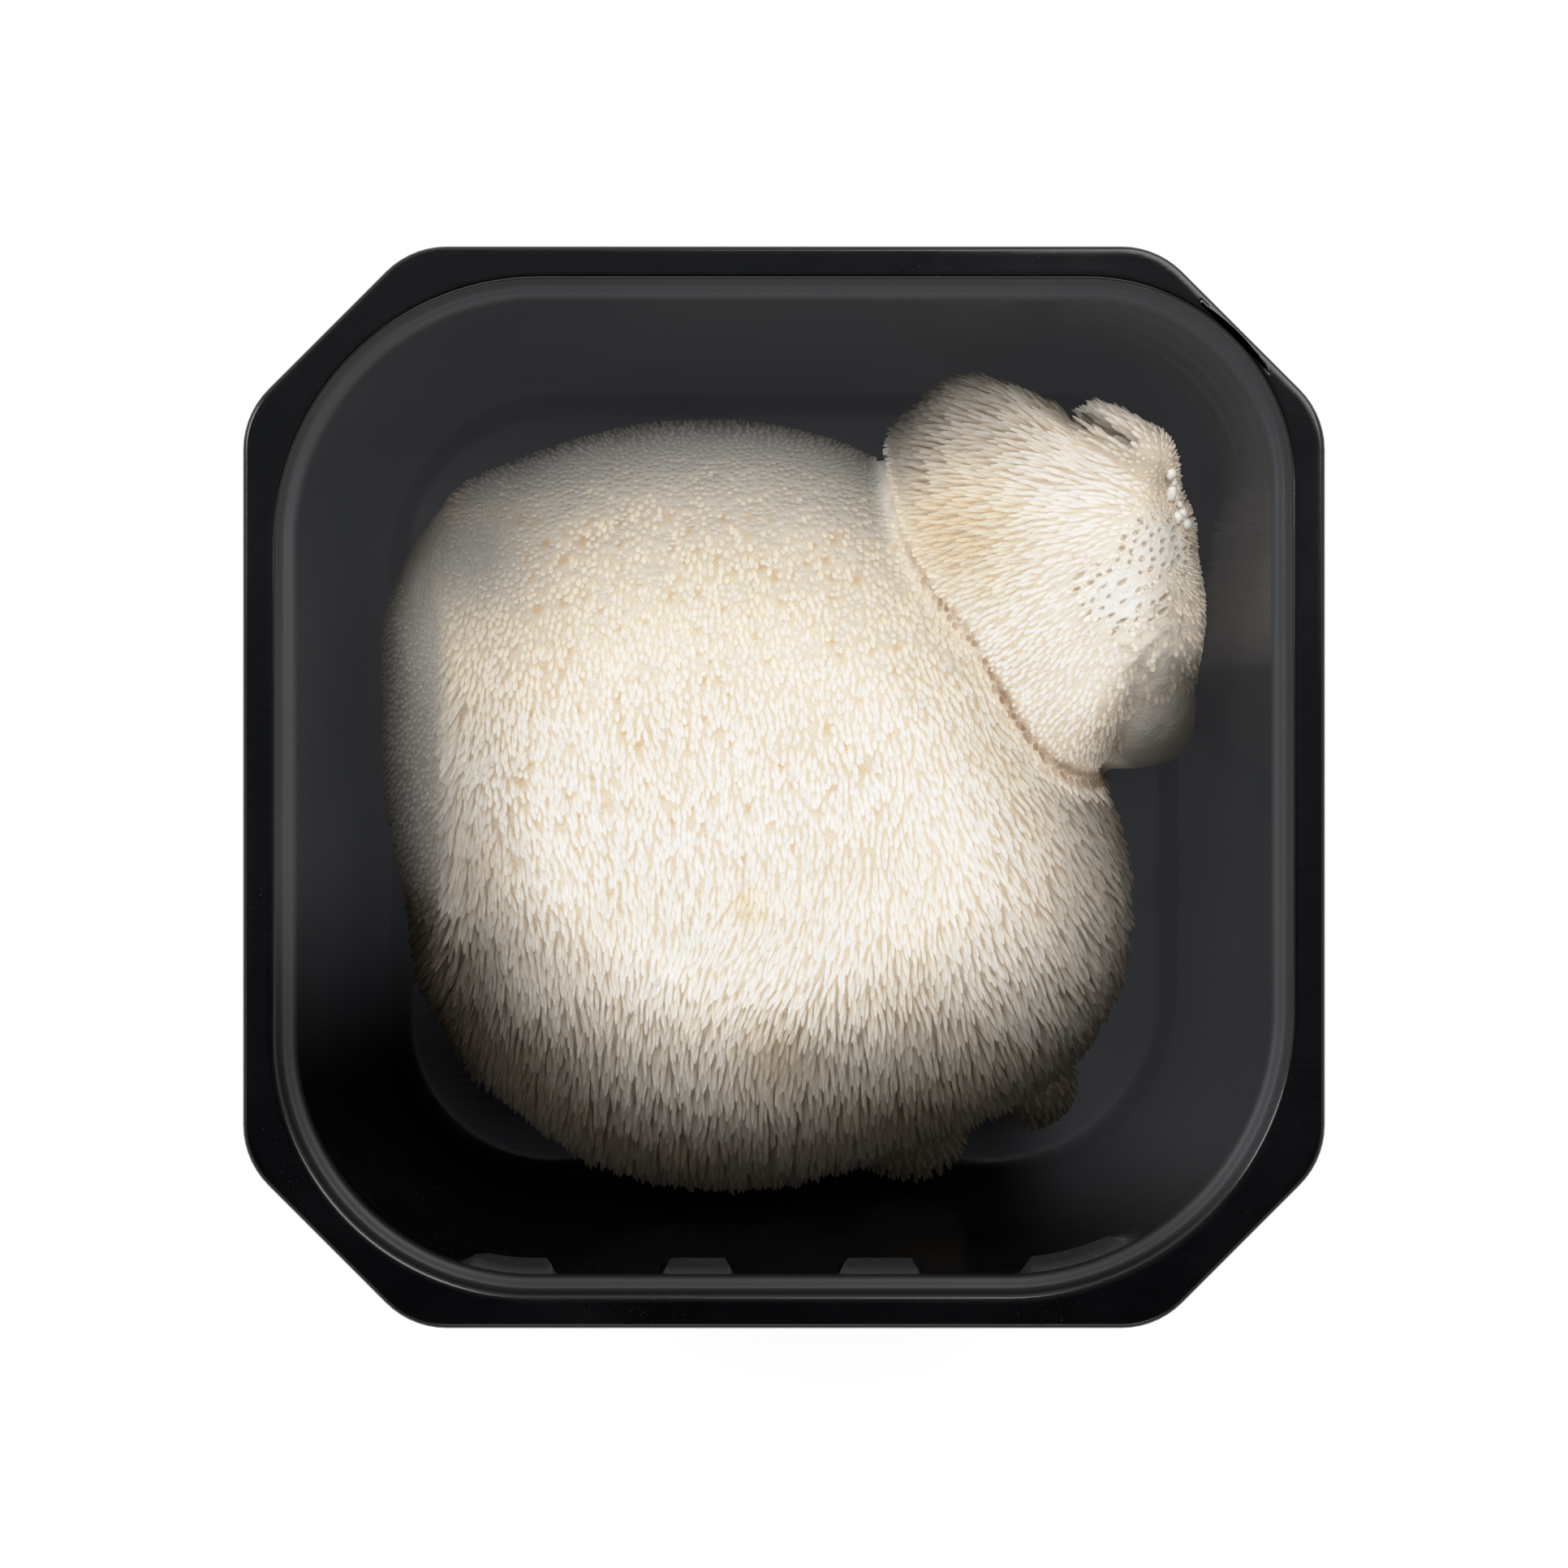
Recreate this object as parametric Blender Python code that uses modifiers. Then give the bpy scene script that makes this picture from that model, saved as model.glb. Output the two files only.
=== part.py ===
"""A lion's mane mushroom resting in a square plastic tray with cut corners.

The frame has +Z up and its origin at the middle of the tray's flat underside. +Y is the side that the
mushroom's crown faces, so its spines hang towards -Y. Everything is in metres.
"""

import math

import bmesh
import bpy
import numpy as np
from mathutils import Vector

# The tray. Its rim is an octagon: a square with cut corners, each cut's ends rounded.
TRAY_HALF = 0.0750
TRAY_HEIGHT = 0.0550
WALL_THICKNESS = 0.0008
CORNER_CUT = 0.0233
CUT_ROUNDING = 0.0120
RIM_EDGE = (0.0007, 0.0010)  # the rounding of the rim's outer edge, across and down
SKIRT_DEPTH = 0.0035

# The well. A narrow step runs round it just below the rim, and its floor turns up into the wall.
WELL_HALF = 0.0709
WELL_CORNERS = (0.0290, 0.0370, 0.0360, 0.0400)  # corner radii of the well: +X+Y, -X+Y, -X-Y, +X-Y
WELL_EDGE = (0.0005, 0.0007)
STEP_WIDTH = 0.0018
STEP_DEPTH = 0.0022
STEP_EDGE = 0.0012
WALL_TOP_HALF = 0.0679
WALL_FOOT_HALF = 0.0602
FOOT_RISE = 0.0038
FLOOR_HALF = 0.0565
POINTS_PER_CORNER = 10
QUARTER_MIDDLE = 1 - math.sqrt(0.5)  # how far a quarter round's middle is from each side, by its radius
SHARP_ANGLE = math.radians(30)

# The lugs on the near wall that keep stacked trays apart: the place of each along the wall, and its width.
LUGS = ((-0.0380, 0.0130), (-0.0120, 0.0102), (0.0133, 0.0118), (0.0405, 0.0165))
LUG_TAPER = 0.8
LUG_CUTS = 2
LUG_HEIGHT = 0.0050
LUG_TOP = 0.0510
LUG_REACH = 0.0022  # how far a lug's top stands out from the wall's face
LUG_BURY = 0.0002  # how far its lower edge lies behind that face

# The mushroom. Touching solids keep a small gap.
GAP = 0.0003
BASE_HEIGHT = WALL_THICKNESS + GAP
TIP_CEILING = 0.0545
WALL_CLEARANCE = 0.0006

# Each lobe: its centre, its plan radii at even angles from +X, its height above and depth below its widest
# level, how full its profile is above and below, and how many points its skin has.
LOBES = {
    "body": {
        "centre": (-0.0040, -0.0030, 0.0220),
        "plan": (50, 49, 50, 51, 52, 53.5, 55, 57, 60, 63, 61, 55.5,
                 52, 50.5, 52, 54, 55, 55, 54, 53, 54, 56, 57.5, 55.5),
        "rise": 0.0300,
        "drop": 0.0270,
        "fullness": (2.6, 2.3),
        "points": 1020,
    },
    "side": {
        "centre": (0.0390, 0.0320, 0.0240),
        "plan": (19.5, 20, 22.5, 21, 23, 29, 29, 26, 22.5, 20, 19, 21, 27, 30, 27, 22),
        "rise": 0.0245,
        "drop": 0.0270,
        "fullness": (3.0, 2.2),
        "points": 400,
    },
    "side_low": {
        "centre": (0.0490, 0.0150, 0.0170),
        "plan": (10.5, 10, 10, 10, 10, 10, 10, 11),
        "rise": 0.0170,
        "drop": 0.0220,
        "fullness": (2.2, 2.2),
        "points": 110,
    },
    "tuft": {
        "centre": (0.0500, 0.0500, 0.0330),
        "plan": (5, 5, 4.5, 6, 7, 5, 5, 5),
        "rise": 0.0090,
        "drop": 0.0120,
        "fullness": (2.0, 2.0),
        "points": 60,
    },
    "foot_near": {
        "centre": (0.0185, -0.0500, 0.0130),
        "plan": (9, 8.5, 8, 8, 9, 8.5, 8, 8.5),
        "rise": 0.0110,
        "drop": 0.0150,
        "fullness": (2.2, 2.2),
        "points": 80,
    },
    "foot_right": {
        "centre": (0.0370, -0.0440, 0.0120),
        "plan": (6.5, 6, 6, 6, 6, 6, 6.5, 6.5),
        "rise": 0.0090,
        "drop": 0.0140,
        "fullness": (2.2, 2.2),
        "points": 60,
    },
}
SIDE_LOBES = ("side", "side_low", "tuft")
MILLIMETRE = 0.001
EVENNESS = 0.6  # how far a lobe's points move from even in angle towards even over its skin
GOLDEN_ANGLE = math.pi * (3 - math.sqrt(5))

# The body's left side has a shelf under its crown: its skin draws in along a band there.
SHELF_BEARING = math.radians(180)
SHELF_SPREAD = math.radians(34)
SHELF_LEVEL = 0.42
SHELF_BAND = 0.14
SHELF_DEPTH = 0.09

# The spines. On the body they hang towards -Y, and fan out a little to both sides. On the side lobe they fan
# out from a point beyond its crown. They shorten in the creases between lobes and down at the foot.
SPINE_SHORT = 0.0022
SPINE_LONG = 0.0052
SPINE_LEAN = 0.75
LEAST_LENGTH_SHARE = 0.25
SHORTEST_SPINE = 0.0007
BODY_FAN = 5.0
BODY_DROOP = 0.15
SIDE_SOURCE = (0.0680, 0.0300)
SIDE_FAN = 0.6
CREASE_WIDTH = 0.22
FOOT_BAND = 0.0080
FOOT_SHARE = 0.2
SMALLEST_SPINY_FACE = 2.5e-6

PLASTIC_COLOUR = (0.012, 0.013, 0.015)
PLASTIC_ROUGHNESS = 0.15
FLESH_COLOUR = (0.86, 0.78, 0.66)
FLESH_ROUGHNESS = 0.75


def clear_scene():
    for obj in list(bpy.data.objects):
        bpy.data.objects.remove(obj, do_unlink=True)


def new_collection(name):
    collection = bpy.data.collections.new(name)
    bpy.context.scene.collection.children.link(collection)
    return collection


def new_material(name, colour, roughness):
    material = bpy.data.materials.new(name)
    material.use_nodes = True
    shader = material.node_tree.nodes["Principled BSDF"]
    shader.inputs["Base Color"].default_value = (*colour, 1)
    shader.inputs["Roughness"].default_value = roughness
    shader.inputs["Metallic"].default_value = 0
    return material


def new_object(name, bm, collection, material):
    mesh = bpy.data.meshes.new(name)
    bm.to_mesh(mesh)
    bm.free()
    mesh.materials.append(material)
    obj = bpy.data.objects.new(name, mesh)
    collection.objects.link(obj)
    return obj


def arc_points(centre, radius, first_normal, last_normal, count):
    """Points along an arc, from the place that faces one angle to the place that faces another."""
    return [
        (centre[0] + radius * math.cos(angle), centre[1] + radius * math.sin(angle))
        for angle in np.linspace(first_normal, last_normal, count)
    ]


def rounded_square(half):
    """The well's outline where it is this wide, with its own radius at each corner."""
    inset = WELL_HALF - half
    points = []
    for quarter, edge_radius in enumerate(WELL_CORNERS):
        radius = edge_radius - inset
        across = half - radius
        signs = ((1, 1), (-1, 1), (-1, -1), (1, -1))[quarter]
        centre = (signs[0] * across, signs[1] * across)
        turn = quarter * math.pi / 2
        points += arc_points(centre, radius, turn, turn + math.pi / 2, POINTS_PER_CORNER)
    return points


def cut_square(half):
    """The rim's outline: a square with cut corners. Both ends of each cut are rounded."""
    inset = TRAY_HALF - half
    rounding = CUT_ROUNDING - inset
    cut = CORNER_CUT - inset * (2 - math.sqrt(2))
    eighth = math.pi / 4
    # An arc's centre stands one radius in from the side and from the cut, which meet at 45 degrees.
    along = half - cut - rounding * math.tan(eighth / 2)
    points = []
    for quarter in range(4):
        turn = quarter * math.pi / 2
        for centre, normal in (
            ((half - rounding, along), 0),
            ((along, half - rounding), eighth),
        ):
            turned = (
                centre[0] * math.cos(turn) - centre[1] * math.sin(turn),
                centre[0] * math.sin(turn) + centre[1] * math.cos(turn),
            )
            first = turn + normal
            points += arc_points(turned, rounding, first, first + eighth, POINTS_PER_CORNER // 2)
    return points


def tray_rings():
    """The tray's upper surface from the floor out to the lower edge of the skirt, ring by ring."""
    top = TRAY_HEIGHT
    step_level = top - STEP_DEPTH
    foot_width = WALL_FOOT_HALF - FLOOR_HALF
    well = (
        (FLOOR_HALF, WALL_THICKNESS),
        (WALL_FOOT_HALF - foot_width * QUARTER_MIDDLE, WALL_THICKNESS + FOOT_RISE * QUARTER_MIDDLE),
        (WALL_FOOT_HALF, WALL_THICKNESS + FOOT_RISE),
        (WALL_TOP_HALF, step_level - STEP_EDGE),
        (WALL_TOP_HALF + STEP_EDGE * QUARTER_MIDDLE, step_level - STEP_EDGE * QUARTER_MIDDLE),
        (WALL_TOP_HALF + STEP_WIDTH, step_level),
        (WELL_HALF - WELL_EDGE[0], top - WELL_EDGE[1]),
        (WELL_HALF, top),
    )
    rim = (
        (TRAY_HALF - RIM_EDGE[0], top),
        (TRAY_HALF - RIM_EDGE[0] * QUARTER_MIDDLE, top - RIM_EDGE[1] * QUARTER_MIDDLE),
        (TRAY_HALF, top - RIM_EDGE[1]),
        (TRAY_HALF, top - SKIRT_DEPTH),
    )
    rings = [[(x, y, z) for x, y in rounded_square(half)] for half, z in well]
    rings += [[(x, y, z) for x, y in cut_square(half)] for half, z in rim]
    return rings


def wall_half(z):
    """Half the well's width at a height, on its inner face."""
    foot = WALL_THICKNESS + FOOT_RISE
    top = TRAY_HEIGHT - STEP_DEPTH - STEP_EDGE
    share = (z - foot) / (top - foot)
    return WALL_FOOT_HALF + (WALL_TOP_HALF - WALL_FOOT_HALF) * share


def near_wall(x, z):
    """The inner face of the near wall at a height, where it runs straight and where its corners begin."""
    half = wall_half(z)
    radius = WELL_CORNERS[2 if x < 0 else 3] - (WELL_HALF - half)
    along = max(0, abs(x) - (half - radius))
    return -(half - radius) - math.sqrt(radius * radius - along * along)


def add_lugs(tray, collection):
    """Small ledges high on the near wall, each a tapered block that follows the wall and is joined to it."""
    for number, (place, width) in enumerate(LUGS):
        bm = bmesh.new()
        bmesh.ops.create_cube(bm, size=1)
        lengthways = [edge for edge in bm.edges if edge.verts[0].co.x != edge.verts[1].co.x]
        bmesh.ops.subdivide_edges(bm, edges=lengthways, cuts=LUG_CUTS, use_grid_fill=True)
        for vert in bm.verts:
            inner = vert.co.y > 0
            upper = vert.co.z > 0
            vert.co.z = LUG_TOP if upper else LUG_TOP - LUG_HEIGHT
            vert.co.x = place + vert.co.x * width * (LUG_TAPER if inner else 1)
            face = near_wall(vert.co.x, vert.co.z)
            if not inner:
                vert.co.y = face - WALL_THICKNESS / 2
            elif upper:
                vert.co.y = face + LUG_REACH
            else:
                vert.co.y = face - LUG_BURY
        bmesh.ops.recalc_face_normals(bm, faces=bm.faces)
        lug = new_object(f"lug_{number}", bm, collection, tray.data.materials[0])
        lug.hide_render = True
        lug.display_type = "WIRE"
        union = tray.modifiers.new(lug.name, "BOOLEAN")
        union.operation = "UNION"
        union.solver = "EXACT"
        union.object = lug


def build_tray(collection, helpers):
    """A loft from the floor to the skirt, thickened downwards and outwards."""
    bm = bmesh.new()
    rings = [[bm.verts.new(point) for point in ring] for ring in tray_rings()]
    bm.faces.new(rings[0])
    for inner, outer in zip(rings, rings[1:]):
        for i in range(len(inner)):
            j = (i + 1) % len(inner)
            bm.faces.new((inner[i], outer[i], outer[j], inner[j]))
    material = new_material("black_plastic", PLASTIC_COLOUR, PLASTIC_ROUGHNESS)
    tray = new_object("tray", bm, collection, material)
    thicken = tray.modifiers.new("wall", "SOLIDIFY")
    thicken.thickness = WALL_THICKNESS
    thicken.offset = -1
    thicken.use_even_offset = True
    add_lugs(tray, helpers)
    tray.data.shade_smooth()
    tray.data.set_sharp_from_angle(angle=SHARP_ANGLE)


def plan_radius(lobe, angle):
    """A lobe's plan radius at an angle, on a smooth closed curve through its radii."""
    radii = np.array(lobe["plan"]) * MILLIMETRE
    count = len(radii)
    place = (angle / (2 * math.pi) * count) % count
    index = int(place)
    t = place - index
    before, start, end, after = (radii[(index + step) % count] for step in (-1, 0, 1, 2))
    return start + 0.5 * t * (
        end - before
        + t * (2 * before - 5 * start + 4 * end - after + t * (3 * (start - end) + after - before))
    )


def shelf(direction):
    """The share by which the body's skin draws in under its crown."""
    bearing = math.atan2(direction[1], direction[0]) % (2 * math.pi)
    across = (bearing - SHELF_BEARING) / SHELF_SPREAD
    up = (direction[2] - SHELF_LEVEL) / SHELF_BAND
    return SHELF_DEPTH * math.exp(-across * across - up * up)


def reach(lobe, direction):
    """How far a lobe's skin is from its centre in a direction."""
    level = math.hypot(direction[0], direction[1])
    plan = plan_radius(lobe, math.atan2(direction[1], direction[0]))
    if lobe is LOBES["body"]:
        plan *= 1 - shelf(direction)
    above = direction[2] > 0
    height = lobe["rise"] if above else lobe["drop"]
    power = lobe["fullness"][0 if above else 1]
    return ((level / plan) ** power + (abs(direction[2]) / height) ** power) ** (-1 / power)


def depth_in(lobe, point):
    """Where a point is against a lobe's skin: below 1 inside it, 1 on it, above 1 outside it."""
    offset = point - Vector(lobe["centre"])
    distance = offset.length
    return distance / reach(lobe, offset / distance)


def lobe_points(lobe):
    """Points on a spiral from top to bottom: even over a ball, and the same points out on the lobe's skin."""
    mean_plan = sum(lobe["plan"]) / len(lobe["plan"]) * MILLIMETRE
    squash = (mean_plan / lobe["rise"]) ** EVENNESS
    ball = []
    skin = []
    for i in range(lobe["points"]):
        z = 1 - 2 * (i + 0.5) / lobe["points"]
        level = math.sqrt(1 - z * z)
        x = level * math.cos(i * GOLDEN_ANGLE)
        y = level * math.sin(i * GOLDEN_ANGLE)
        direction = Vector((x * squash, y * squash, z)).normalized()
        point = Vector(lobe["centre"]) + direction * reach(lobe, direction)
        point.z = max(point.z, BASE_HEIGHT)
        ball.append(Vector((x, y, z)))
        skin.append(point)
    return ball, skin


def lobe_object(name, collection, material):
    """One lobe: an even ball of triangles, then moved out onto the lobe's skin and cut off at the base."""
    ball, skin = lobe_points(LOBES[name])
    bm = bmesh.new()
    verts = [bm.verts.new(point) for point in ball]
    bmesh.ops.convex_hull(bm, input=verts)
    for vert, point in zip(verts, skin):
        vert.co = point
    bmesh.ops.recalc_face_normals(bm, faces=bm.faces)
    return new_object(name, bm, collection, material)


def joined_lobes(helpers, material):
    """The lobes as one mesh, with no walls left between them."""
    objects = [lobe_object(name, helpers, material) for name in LOBES]
    body = objects[0]
    for other in objects[1:]:
        union = body.modifiers.new(other.name, "BOOLEAN")
        union.operation = "UNION"
        union.solver = "EXACT"
        union.object = other
    graph = bpy.context.evaluated_depsgraph_get()
    mesh = bpy.data.meshes.new_from_object(body.evaluated_get(graph))
    for obj in objects:
        bpy.data.objects.remove(obj, do_unlink=True)
    return mesh


def owner_of(point):
    """The lobe whose skin a point lies on, and how far outside the nearest other lobe it is."""
    depths = {name: depth_in(lobe, point) for name, lobe in LOBES.items()}
    owner = min(depths, key=lambda name: abs(depths[name] - 1))
    others = [depth for name, depth in depths.items() if name != owner]
    return owner, min(others) - 1


def hang(owner, point):
    """The way a spine's tip is drawn at a place: down the body, or away from the side lobe's crown."""
    if owner in SIDE_LOBES:
        away = Vector((point.x - SIDE_SOURCE[0], (point.y - SIDE_SOURCE[1]) * SIDE_FAN, 0))
        return away.normalized()
    return Vector((BODY_FAN * point.x, -1, -BODY_DROOP)).normalized()


def spine_length(owner, normal, pull):
    """Spines are short where they grow against their pull and long where they grow along it."""
    if owner == "tuft":
        return SPINE_LONG
    along = 0.5 + 0.5 * normal.dot(pull)
    return SPINE_SHORT + (SPINE_LONG - SPINE_SHORT) * min(1, LEAST_LENGTH_SHARE + along)


def kept_in_tray(tip):
    """The tip moved in from the tray's walls, floor and rim level."""
    tip.z = min(max(tip.z, BASE_HEIGHT + GAP), TIP_CEILING)
    room = wall_half(tip.z) - WALL_CLEARANCE
    tip.x = min(max(tip.x, -room), room)
    tip.y = min(max(tip.y, -room), room)
    return tip


def add_spines(bm):
    """Turns each face of the skin into one leaning spine. The flat base stays flat."""
    bmesh.ops.triangulate(bm, faces=bm.faces)
    bm.normal_update()
    spiny = []
    for face in bm.faces:
        centre = face.calc_center_median()
        flat_base = max(vert.co.z for vert in face.verts) < BASE_HEIGHT + GAP
        if flat_base or face.calc_area() < SMALLEST_SPINY_FACE:
            continue
        owner, clear_of_others = owner_of(centre)
        crease_share = min(1, max(0, clear_of_others / CREASE_WIDTH))
        foot_share = min(1, max(FOOT_SHARE, (centre.z - BASE_HEIGHT) / FOOT_BAND))
        pull = hang(owner, centre)
        direction = (face.normal + pull * SPINE_LEAN).normalized()
        length = spine_length(owner, face.normal, pull) * crease_share * foot_share
        if length > SHORTEST_SPINE:
            spiny.append((face, kept_in_tray(centre + direction * length)))
    for face, tip in spiny:
        poked = bmesh.ops.poke(bm, faces=[face])
        poked["verts"][0].co = tip


def build_mushroom(collection, helpers):
    """All lobes joined as one grown piece, then covered with spines."""
    material = new_material("mushroom_flesh", FLESH_COLOUR, FLESH_ROUGHNESS)
    mesh = joined_lobes(helpers, material)
    bm = bmesh.new()
    bm.from_mesh(mesh)
    bpy.data.meshes.remove(mesh)
    add_spines(bm)
    bmesh.ops.recalc_face_normals(bm, faces=bm.faces)
    new_object("mushroom", bm, collection, material)


def main():
    clear_scene()
    parts = new_collection("lions_mane_mushroom")
    helpers = new_collection("helpers")
    build_tray(parts, helpers)
    build_mushroom(parts, helpers)


main()
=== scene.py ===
"""The looks of a lion's mane mushroom in its tray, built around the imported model.

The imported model's frame is in metres, with +Z up and +Y the side that the mushroom's crown faces. Forms are
worked out here in millimetres in that frame, and scaled when they are done. The solids' main values are
repeated, because this script reads nothing but the frame.
"""

import functools
import math
from collections import namedtuple

import bmesh
import bpy
import numpy as np
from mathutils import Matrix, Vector, noise
from mathutils.bvhtree import BVHTree


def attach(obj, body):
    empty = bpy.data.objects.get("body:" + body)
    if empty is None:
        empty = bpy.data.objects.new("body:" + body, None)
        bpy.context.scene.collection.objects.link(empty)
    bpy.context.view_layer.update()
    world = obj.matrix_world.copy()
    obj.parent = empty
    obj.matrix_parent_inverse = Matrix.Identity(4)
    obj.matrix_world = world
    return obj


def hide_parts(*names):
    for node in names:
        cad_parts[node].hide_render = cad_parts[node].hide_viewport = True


MM = 0.001
SEED = 20

# The tray, as in the part.
TRAY_HALF = 75.0
TRAY_HEIGHT = 55.0
WALL = 0.8
CORNER_CUT = 23.3
CUT_ROUNDING = 12.0
SKIRT_DEPTH = 3.5
WELL_HALF = 70.9
WELL_CORNERS = (29.0, 37.0, 36.0, 40.0)
STEP_WIDTH = 1.8
STEP_DEPTH = 2.2
STEP_EDGE = 1.2
WALL_TOP_HALF = 67.9
WALL_FOOT_HALF = 60.2
FOOT_RISE = 3.8
FLOOR_HALF = 56.5
LUGS = ((-38.0, 13.0), (-12.0, 10.2), (13.3, 11.8), (40.5, 16.5))
LUG_TOP = 51.0
LUG_HEIGHT = 5.0
LUG_REACH = 2.2

# The mushroom, as in the part. Fullness is how square a lobe's section is above and below its widest level.
Lobe = namedtuple("Lobe", "centre plan rise drop fullness")
GAP = 0.3
BASE_HEIGHT = WALL + GAP
LOBES = {
    "body": Lobe(
        (-4.0, -3.0, 22.0),
        (51.5, 49, 50, 51, 52, 54.3, 56, 57.8, 60.4, 63.8, 61.8, 56.4,
         54.0, 52.6, 52.8, 54.2, 55, 54.6, 53.4, 52.5, 53.4, 55.6, 57, 55.2),
        30.0, 27.0, (2.6, 2.3),
    ),
    "side": Lobe(
        (39.0, 32.0, 24.0),
        (20.8, 21, 20.8, 20, 22.5, 28.4, 28.8, 27.5, 27, 24.5, 23.5, 28.5, 33, 28.5, 26.8, 23.6),
        24.5, 27.0, (3.0, 2.2),
    ),
    "side_low": Lobe(
        (49.6, 14.0, 18.0), (10.8, 10.4, 10, 10, 10, 10.3, 11.3, 12.7), 23.4, 23.0, (2.6, 2.2),
    ),
    "tuft": Lobe((50.3, 47.2, 33.0), (5.8, 5.0, 5.2, 7.5, 5.2, 4.0, 5.0, 7.4), 14.0, 13.0, (2.5, 2.0)),
    "foot_near": Lobe((18.5, -50.0, 13.0), (9, 8.5, 8, 8, 9, 8.5, 8, 8.5), 11.0, 15.0, (2.2, 2.2)),
    "foot_right": Lobe((37.0, -44.0, 12.0), (6.5, 6, 6, 6, 6, 6, 6.5, 6.5), 9.0, 14.0, (2.2, 2.2)),
}
BODY, SIDE, SIDE_LOW, TUFT, FOOT_NEAR, FOOT_RIGHT = range(6)
BODY_PARTS = (BODY, FOOT_NEAR, FOOT_RIGHT)
SIDE_PARTS = (SIDE, SIDE_LOW, TUFT)
SHELF_BEARING = math.pi
SHELF_SPREAD = math.radians(34)
SHELF_LEVEL = 0.42
SHELF_BAND = 0.14
SHELF_DEPTH = 0.09
CREASE_PASSES = 14
TIP_CEILING = 54.5
WALL_CLEARANCE = 0.6

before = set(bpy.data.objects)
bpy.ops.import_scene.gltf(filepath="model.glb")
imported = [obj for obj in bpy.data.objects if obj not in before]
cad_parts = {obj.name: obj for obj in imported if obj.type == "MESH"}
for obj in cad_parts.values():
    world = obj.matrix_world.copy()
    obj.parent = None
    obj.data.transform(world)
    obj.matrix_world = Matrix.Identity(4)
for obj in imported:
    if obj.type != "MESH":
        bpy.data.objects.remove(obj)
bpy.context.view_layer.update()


def linked(name, data):
    """A new object in the scene, for a mesh, a light or a camera."""
    obj = bpy.data.objects.new(name, data)
    bpy.context.scene.collection.objects.link(obj)
    return obj


def mesh_object(name, verts, corners, sizes, material):
    """One smooth object from arrays: places in millimetres, all faces' corners in a row, each face's size."""
    mesh = bpy.data.meshes.new(name)
    corners = np.asarray(corners, np.int32)
    sizes = np.asarray(sizes, np.int32)
    mesh.vertices.add(len(verts))
    mesh.vertices.foreach_set("co", (verts * MM).astype(np.float32).ravel())
    mesh.loops.add(len(corners))
    mesh.loops.foreach_set("vertex_index", corners)
    mesh.polygons.add(len(sizes))
    mesh.polygons.foreach_set("loop_start", (np.cumsum(sizes) - sizes).astype(np.int32))
    mesh.update(calc_edges=True)
    mesh.validate()
    mesh.shade_smooth()
    mesh.materials.append(material)
    return linked(name, mesh)


def mesh_from(bm, name):
    """A mesh from working geometry, which is then let go."""
    mesh = bpy.data.meshes.new(name)
    bm.to_mesh(mesh)
    bm.free()
    return mesh


def small_things(bm, name, material):
    """One smooth object from working geometry in millimetres."""
    for vert in bm.verts:
        vert.co *= MM
    mesh = mesh_from(bm, name)
    mesh.shade_smooth()
    mesh.materials.append(material)
    return linked(name, mesh)


def per_vertex(mesh, kind):
    """Three numbers for each vertex of a mesh: its place ("co") or its normal ("normal")."""
    values = np.empty(len(mesh.vertices) * 3, np.float32)
    mesh.vertices.foreach_get(kind, values)
    return values.reshape(-1, 3).astype(float)


def move_vertices(mesh, places):
    mesh.vertices.foreach_set("co", places.astype(np.float32).ravel())
    mesh.update()


def triangles_of(mesh):
    """The three vertices of each triangle of a mesh."""
    mesh.calc_loop_triangles()
    corners = np.empty(len(mesh.loop_triangles) * 3, np.int32)
    mesh.loop_triangles.foreach_get("vertices", corners)
    return corners.reshape(-1, 3)


def add_values(obj, **values):
    """One number per vertex of an object under each name, for its material to read."""
    for name, numbers in values.items():
        layer = obj.data.attributes.new(name, "FLOAT", "POINT")
        layer.data.foreach_set("value", np.asarray(numbers, np.float32))


def unit(vectors):
    return vectors / np.maximum(np.linalg.norm(vectors, axis=-1, keepdims=True), 1e-9)


def smooth_step(start, end, values):
    """0 up to the start and 1 from the end on, smooth between them. The end may be the lower number."""
    share = np.clip((values - start) / (end - start), 0, 1)
    return share * share * (3 - 2 * share)


def bump(points, centre, width):
    """1 at a place in plan, falling off smoothly over a width."""
    offset = (points[:, :2] - np.array(centre)) / np.array(width)
    return np.exp(-(offset ** 2).sum(1))


def field(points, scale, shift):
    """Smooth noise between about -1 and 1 at each point."""
    place = Vector((shift, 2.7 * shift, -1.3 * shift))
    return np.array([noise.noise(Vector(point) / scale + place) for point in points])


def greatest(*values):
    return functools.reduce(np.maximum, values)


def turned(x, y, angle):
    """Places in plan turned about the middle."""
    cos, sin = math.cos(angle), math.sin(angle)
    return x * cos - y * sin, x * sin + y * cos


def none_near(made, x, y, spacing):
    """Whether a place in plan is farther than a spacing from everything made before it."""
    return all(math.hypot(x - other[0], y - other[1]) > spacing for other in made)


def new_material(name):
    material = bpy.data.materials.new(name)
    material.use_nodes = True
    return material, material.node_tree, material.node_tree.nodes["Principled BSDF"]


def connect(tree, value, socket):
    """Link a node's output to a socket, or set the socket to a value."""
    if isinstance(value, bpy.types.NodeSocket):
        tree.links.new(value, socket)
    else:
        socket.default_value = value


def fill(tree, node, inputs):
    """Link or set several of a node's inputs by name."""
    for name, value in inputs.items():
        connect(tree, value, node.inputs[name])


def add(tree, kind, settings=None, inputs=None):
    """A shader node with its settings, and its inputs linked or set."""
    made = tree.nodes.new(kind)
    for name, value in (settings or {}).items():
        setattr(made, name, value)
    fill(tree, made, inputs or {})
    return made


def attribute(tree, name):
    return add(tree, "ShaderNodeAttribute", {"attribute_name": name}).outputs["Fac"]


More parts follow.
